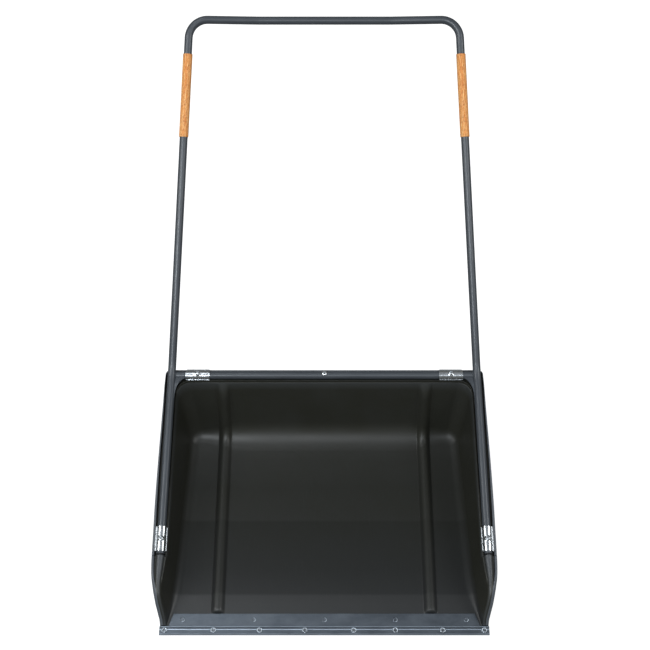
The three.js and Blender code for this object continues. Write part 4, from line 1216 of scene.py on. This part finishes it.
def build_sheet(name, depths, halves, shader, piece, top, low, bevel):
    """A pressed sheet: half width at each depth, top and low faces as z over depth."""
    shares = np.linspace(-1, 1, 120)
    grids = [np.array([[[x * half, depth - ORIGIN, face(depth)] for x in shares]
                       for depth, half in zip(depths, halves)]) for face in (top, low)]
    points, faces = slab(*grids)
    make(name, points, faces, shader, piece, points, sharp=30, bevel=(bevel, 3, 55))


def sheet_step(depth, start, end):
    return lerp(SHEET_FRONT_Z, SHEET_BACK_Z, smooth(start, end, depth))


def sheet_top(depth):
    """Step up behind the strip, with one low ridge on it and one in front of it."""
    return (sheet_step(depth, 15.6, 17.3) + SHEET_T
            + 0.40 * math.exp(-((depth - 17.7) / 0.7) ** 2)
            + 0.45 * math.exp(-((depth - 12.3) / 0.6) ** 2))


def build_edge_sheet():
    front = [1.8, 3, 6, 9, 11, 11.5, 11.8, 12.1, 12.4, 12.7, 13.0, 13.5, 14.5, 15.4, 15.8,
             16.2, 16.6, 16.9, 17.2, 17.5, 17.8, 18.1, 18.5, 18.95]
    rear = [19.15, 20, 23, 26, 29, 33.5, 38, 42.5, 45.5, PLATE_BACK]
    halves = [EDGE_HALF] * len(front)              # the rear stays inside the tub's fillets
    halves += [base_x(d) - np.interp(d, [20, 29, 38, 47], [4, 5, 6.2, 7.5]) for d in rear]
    build_sheet("edge_sheet", front + rear, halves, EDGE, "edge_plate", sheet_top,
                lambda depth: sheet_step(depth, 17.3, 18.8), bevel=0.35)


def build_wear_blade():
    depths = [0, 0.12, 0.3, 0.6, 1.0, 1.5, 2.5, 5, 9, 13, 17, STRIP_BACK]
    # (depth, z) of the blade's two faces
    low = curve([(0, 0.35), (0.25, 0.1), (0.6, 0.0), (30, 0.0)])
    top = curve([(0, 0.95), (0.5, 1.6), (1.5, STRIP_T), (30, STRIP_T)])
    build_sheet("wear_blade", depths, [EDGE_HALF + 0.5] * len(depths), WEAR, "wear_strip",
                lambda depth: float(top(depth)), lambda depth: float(low(depth)), bevel=0.25)


def build_rivets():
    top = SHEET_BACK_Z + SHEET_T
    profile = soften([
        (0, 0.3), (5.2, 0.3), (5.2, 1.3), (2.4, 1.3), (2.4, top + 0.1), (5.4, top + 0.1),
        (5.2, top + 0.5), (4.6, top + 0.8), (3.4, top + 0.98), (2.9, top + 0.72),
        (1.4, top + 0.66), (0, top + 0.66)], 0.35)
    for i, x in enumerate(FLUSH_XS, 1):
        turned(f"flush_rivet_{i}", profile, vec(x, FLUSH_DEPTH - ORIGIN, 0), UP, FLUSH,
               f"edge_rivet_{i}", seg=48, sharp=55)
    top = SHEET_FRONT_Z + SHEET_T
    profile = soften([
        (0, 0.2), (4.9, 0.2), (4.9, 0.8), (2.9, 0.8), (2.9, top + 0.1), (6.3, top + 0.1),
        (6.2, top + 1.1), (5.5, top + 1.85), (4.6, top + 2.0), (3.7, top + 1.7),
        (2.9, top + 0.7), (2.5, top + 0.42), (0, top + 0.4)], 0.5)
    for i, x in enumerate(RING_XS, 1):
        turned(f"ring_rivet_{i}", profile, vec(x, RING_DEPTH - ORIGIN, 0), UP, RIVET,
               f"wear_rivet_{i}", seg=48, sharp=60)


build_edge_sheet()
build_wear_blade()
build_rivets()

# ---------- clamps and screws ----------
SIDE_CLAMP_DEPTH, TOP_CLAMP_X = 184.0, 287.0
CLAMP_LEN, CLAMP_IN, CLAMP_OUT = 54.0, TUBE_R + 0.4, TUBE_R + 2.0
HEAD_H, RECESS = 3.3, 1.35
NUT_H, NUT_HALF = 4.6, 4.85                    # height, half width across flats


def clamp_line():
    """Middle line of a clamp's section: outer foot, saddle over the tube, inner foot."""
    radius = (CLAMP_IN + CLAMP_OUT) / 2
    outer_foot, inner_foot = 2.5, -0.6             # heights over the tube's axis
    arc = [vec(radius * math.cos(a), radius * math.sin(a))
           for a in np.linspace(math.pi - math.asin(outer_foot / radius),
                                math.asin(inner_foot / radius), 40)]

    def blend(start, end, corner):
        return list(bezier(start, lerp(start, corner, 0.5), lerp(end, corner, 0.5), end, 6))

    line = [vec(x, outer_foot) for x in (-13.8, -13.2, -12.6)]
    line += blend(vec(arc[0][0] - 1.6, outer_foot), arc[2], arc[0]) + arc[3:-3]
    line += blend(arc[-3], vec(arc[-1][0] + 1.6, inner_foot), arc[-1])
    line += [vec(x, inner_foot) for x in (12.0, 12.6)]
    kept = [line[0]]
    for point in line[1:]:
        if np.linalg.norm(point - kept[-1]) > 0.12:
            kept.append(point)
    return np.array(kept)


def build_clamp(name, at, inward, up, piece):
    """Pressed saddle with two feet and a flat seat under the screw head."""
    along = np.cross(inward, up)
    thick = CLAMP_OUT - CLAMP_IN
    line = clamp_line()
    way = np.gradient(line, axis=0)
    normals = np.stack([way[:, 1], -way[:, 0]], 1)
    normals /= np.linalg.norm(normals, axis=1)[:, None]
    normals *= np.sign(normals[len(normals) // 2] @ vec(0, 1))
    half = CLAMP_LEN / 2
    ends = vec(0, 0.4, 1.0, 1.8, 2.8, 4.0)
    places = np.concatenate([-half + ends, np.linspace(-half + 6, half - 6, 40),
                             half - ends[::-1]])
    corner = 4.0                                   # radius of the feet's corners
    top, low = [], []
    for place in places:
        over = max(0.0, abs(place) - (half - corner))
        cut = corner - math.sqrt(max(0.0, corner * corner - over * over))
        top_row, low_row = [], []
        for (x, y), normal in zip(line, normals):
            if x < -12.0:
                x = min(x + cut * 0.55, -11.9)
            if x > 11.6:
                x = max(x - cut * 0.45, 11.5)
            upper = vec(x, y) + normal * thick / 2
            lower = vec(x, y) - normal * thick / 2
            if y > 3:                              # flat seat under the head
                flat = float(1 - smooth(5.2, 6.6, math.hypot(x, place)))
                upper[1] = lerp(upper[1], CLAMP_OUT + 0.02, flat)
            for row, point in ((top_row, upper), (low_row, lower)):
                row.append(at + inward * point[0] + up * point[1] + along * place)
        top.append(top_row)
        low.append(low_row)
    points, faces = slab(np.array(top), np.array(low))
    offset = points - at
    loc = np.stack([offset @ inward, offset @ up, offset @ along], 1)
    make(name, points, faces, ZINC, piece, loc, sharp=50, bevel=(0.35, 3, 70))


def build_screw(name, at, axis, top, bottom, head_r, piece):
    """Pan head with a cross recess, and a shank with its thread drawn as fine rings."""
    z = bottom
    profile = [(0, z), (2.3, z), (2.85, z + 0.6)]
    while z < top - 2.0:
        z += 1.0
        profile += [(2.55, z), (2.85, z + 0.5)]
    profile += [(2.8, top + 0.1), (head_r - 0.25, top + 0.1), (head_r, top + 0.35),
                (head_r, top + 1.3)]
    for t in np.linspace(0.12, 1, 16):
        profile.append((lerp(head_r, 2.9, t ** 1.15),
                        top + 1.3 + (HEAD_H - 1.3) * math.sin(t * math.pi / 2) ** 0.8))
    profile += [(2.9 - 0.16 * i, top + HEAD_H + 0.004 * i) for i in range(1, 18)]
    profile.append((0, top + HEAD_H + 0.07))

    def recess(x, y, z):
        if z <= top + HEAD_H - 0.6 or math.hypot(x, y) >= 3.4:
            return 0
        arm, reach = min(abs(x), abs(y)), max(abs(x), abs(y))
        half = lerp(0.95, 0.5, min(1, reach / 2.4))
        return RECESS * float((1 - smooth(half - 0.28, half, arm)) * (1 - smooth(2.15, 2.5, reach)))

    turned(name, profile, at, axis, ZINC, piece, seg=96, sharp=48, sink=recess, spin=0.35)


def build_washer(name, at, axis, z, piece):
    rows = [(3.1, z - 0.6), (3.1, z - 1.2), (7, z - 1.2), (7, z), (3.1, z), (3.1, z - 0.6)]
    turned(name, soften(rows, 0.2)[1:-1], at, axis, ZINC, piece, sharp=50, closed=True)


def build_nut(name, at, axis, z, piece):
    """Hexagon nut with chamfered corners and a countersunk bore."""
    seg = 96
    u, v, w = frame_of(axis)
    # (radius, height); no radius means the hexagon
    rows = [(2.95, 0.55), (3.3, 0.0), (4.75, 0.0), (None, 0.0),
            (None, NUT_H), (4.75, NUT_H), (3.3, NUT_H), (2.95, NUT_H - 0.55)]
    points, loc = [], []
    for row_radius, row_height in rows:
        for a in circle(seg):
            radius, height = row_radius, row_height
            if radius is None:
                radius = NUT_HALF / math.cos((a + math.pi / 6) % (math.pi / 3) - math.pi / 6)
                chamfer = max(0.0, radius - 4.9) * 0.62
                height += chamfer if height == 0 else -chamfer
            height += z - NUT_H
            points.append(at + (u * math.cos(a) + v * math.sin(a)) * radius + w * height)
            loc.append(vec(radius * math.cos(a), radius * math.sin(a), height))
    make(name, points, ring_faces(len(rows), seg), ZINC, piece, loc, sharp=32)


def build_bolt(name, at, axis, top, slack, head_r, piece):
    """Screw, washer and nut; piece names them in the CAD."""
    under = -(TUBE_R + TUBE_GAP + CHANNEL_T) - slack
    build_screw("screw_" + name, at, axis, top, under - 8.2, head_r, piece.format("screw"))
    build_washer("washer_" + name, at, axis, under - 0.3, piece.format("washer"))
    build_nut("nut_" + name, at, axis, under - 1.7, piece.format("nut"))


def build_clamped(name, at, axis, inward, slack):
    build_clamp("saddle_" + name, at, inward, axis, "clamp_" + name)
    build_bolt(name, at, axis, top=CLAMP_OUT, slack=slack, head_r=5.6,
               piece="clamp_{}_" + name)


for side, side_name in SIDES:
    slope_up = vec(0, -math.sin(SLOPE_ANGLE), math.cos(SLOPE_ANGLE))
    tube_way = unit(vec(-side * TUBE_TAPER, 1, RIM_SLOPE))
    build_clamped(
        "side_" + side_name,
        vec(side * tube_x(SIDE_CLAMP_DEPTH), SIDE_CLAMP_DEPTH - ORIGIN,
            tube_z(SIDE_CLAMP_DEPTH)),
        slope_up, unit(np.cross(tube_way, slope_up) * -side), slack=0.2)
    build_clamped("top_" + side_name, vec(side * TOP_CLAMP_X, CROSS_Y, CROSS_Z), UP,
                  vec(0, -1, 0), slack=0.4)
build_bolt("centre", vec(0, CROSS_Y, CROSS_Z), UP, top=TUBE_R, slack=0.4, head_r=6.6,
           piece="centre_{}")

# ---------- stage, in metres ----------
scene = bpy.context.scene


def area_light(name, place, target, size, power, color):
    light = bpy.data.lights.new(name, "AREA")
    light.shape = "RECTANGLE"
    light.size, light.size_y = size
    light.energy = power
    light.color = color
    item = bpy.data.objects.new(name, light)
    item.location = place
    item.rotation_mode = "QUATERNION"
    item.rotation_quaternion = (Vector(target) - Vector(place)).to_track_quat("-Z", "Y")
    scene.collection.objects.link(item)


COOL, NEUTRAL = (0.90, 0.955, 1.0), (0.98, 0.99, 0.985)
area_light("key", place=(-1.35, -2.25, 4.05), target=(0, 0.1, 0.05), size=(1.5, 1.1),
           power=106, color=COOL)
area_light("fill", place=(1.5, -1.9, 4.0), target=(0, 0.1, 0.05), size=(0.8, 0.8),
           power=18, color=COOL)
area_light("top", place=(-1.1, 1.3, 4.0), target=(-0.1, 0, 0), size=(1.3, 0.8),
           power=16, color=(0.93, 0.97, 1.0))
area_light("left", place=(-2.4, -0.1, 2.3), target=(0, 0.05, 0.1), size=(1.3, 1.0),
           power=31, color=NEUTRAL)
area_light("right", place=(2.4, -0.1, 2.3), target=(0, 0.05, 0.1), size=(1.3, 1.0),
           power=30, color=NEUTRAL)


def build_world():
    """A room that is light overhead and dark round the horizon, white to the camera."""
    world = bpy.data.worlds.new("studio")
    scene.world = world
    world.use_nodes = True
    nodes, link = world.node_tree.nodes, world.node_tree.links.new
    background = nodes["Background"]
    place = nodes.new("ShaderNodeTexCoord")
    split = nodes.new("ShaderNodeSeparateXYZ")
    ramp = nodes.new("ShaderNodeValToRGB")
    path = nodes.new("ShaderNodeLightPath")
    mix = nodes.new("ShaderNodeMix")
    mix.data_type = "RGBA"
    link(place.outputs["Generated"], split.inputs[0])
    link(split.outputs[2], ramp.inputs[0])
    horizon, overhead = ramp.color_ramp.elements
    horizon.position, horizon.color = 0.30, (0.13, 0.132, 0.12, 1)
    overhead.position, overhead.color = 0.95, (0.30, 0.31, 0.32, 1)
    link(path.outputs["Is Camera Ray"], mix.inputs[0])
    link(ramp.outputs[0], mix.inputs[6])
    mix.inputs[7].default_value = (1, 1, 1, 1)
    link(mix.outputs[2], background.inputs[0])
    background.inputs[1].default_value = 1.0


def build_floor():
    """Grey to the light, nearly white to the camera."""
    mat = Shader("pale_floor")
    cloud = mat.noise(mat.frame_mm(), size=400, detail=2)
    mat.put("Base Color", mat.mix(mat.span(cloud, within=(0.3, 0.7)),
                                  base=(0.26, 0.26, 0.26), tint=(0.28, 0.28, 0.28)))
    mat.put("Roughness", 0.9)
    mat.put("Specular IOR Level", 0.0)
    mat.put("Emission Color", (1, 1, 1, 1))
    glow = 0.93                                    # emission seen by the camera
    camera_ray = mat.node("ShaderNodeLightPath").outputs["Is Camera Ray"]
    mat.put("Emission Strength", mat.calc("MULTIPLY", camera_ray, glow))
    half, drop = 30, 0.0004
    mesh = bpy.data.meshes.new("stage_floor")
    mesh.from_pydata([(-half, -half, 0), (half, -half, 0), (half, half, 0), (-half, half, 0)],
                     [], [(0, 1, 2, 3)])
    mesh.materials.append(mat.material)
    floor = bpy.data.objects.new("stage_floor", mesh)
    floor.location = (0, 0, -drop)
    scene.collection.objects.link(floor)


def build_camera():
    data = bpy.data.cameras.new("camera")
    camera = bpy.data.objects.new("camera", data)
    scene.collection.objects.link(camera)
    data.sensor_width = 36
    data.lens = 74.76923
    data.clip_end = 100
    camera.location = (0.0015, -1.305, 2.767)
    camera.rotation_mode = "QUATERNION"
    camera.rotation_quaternion = Vector((0, 0.5592, -0.8290)).to_track_quat("-Z", "Y")
    scene.camera = camera


build_world()
build_floor()
build_camera()
scene.view_settings.view_transform = "Standard"
scene.view_settings.look = "None"

bpy.context.view_layer.update()
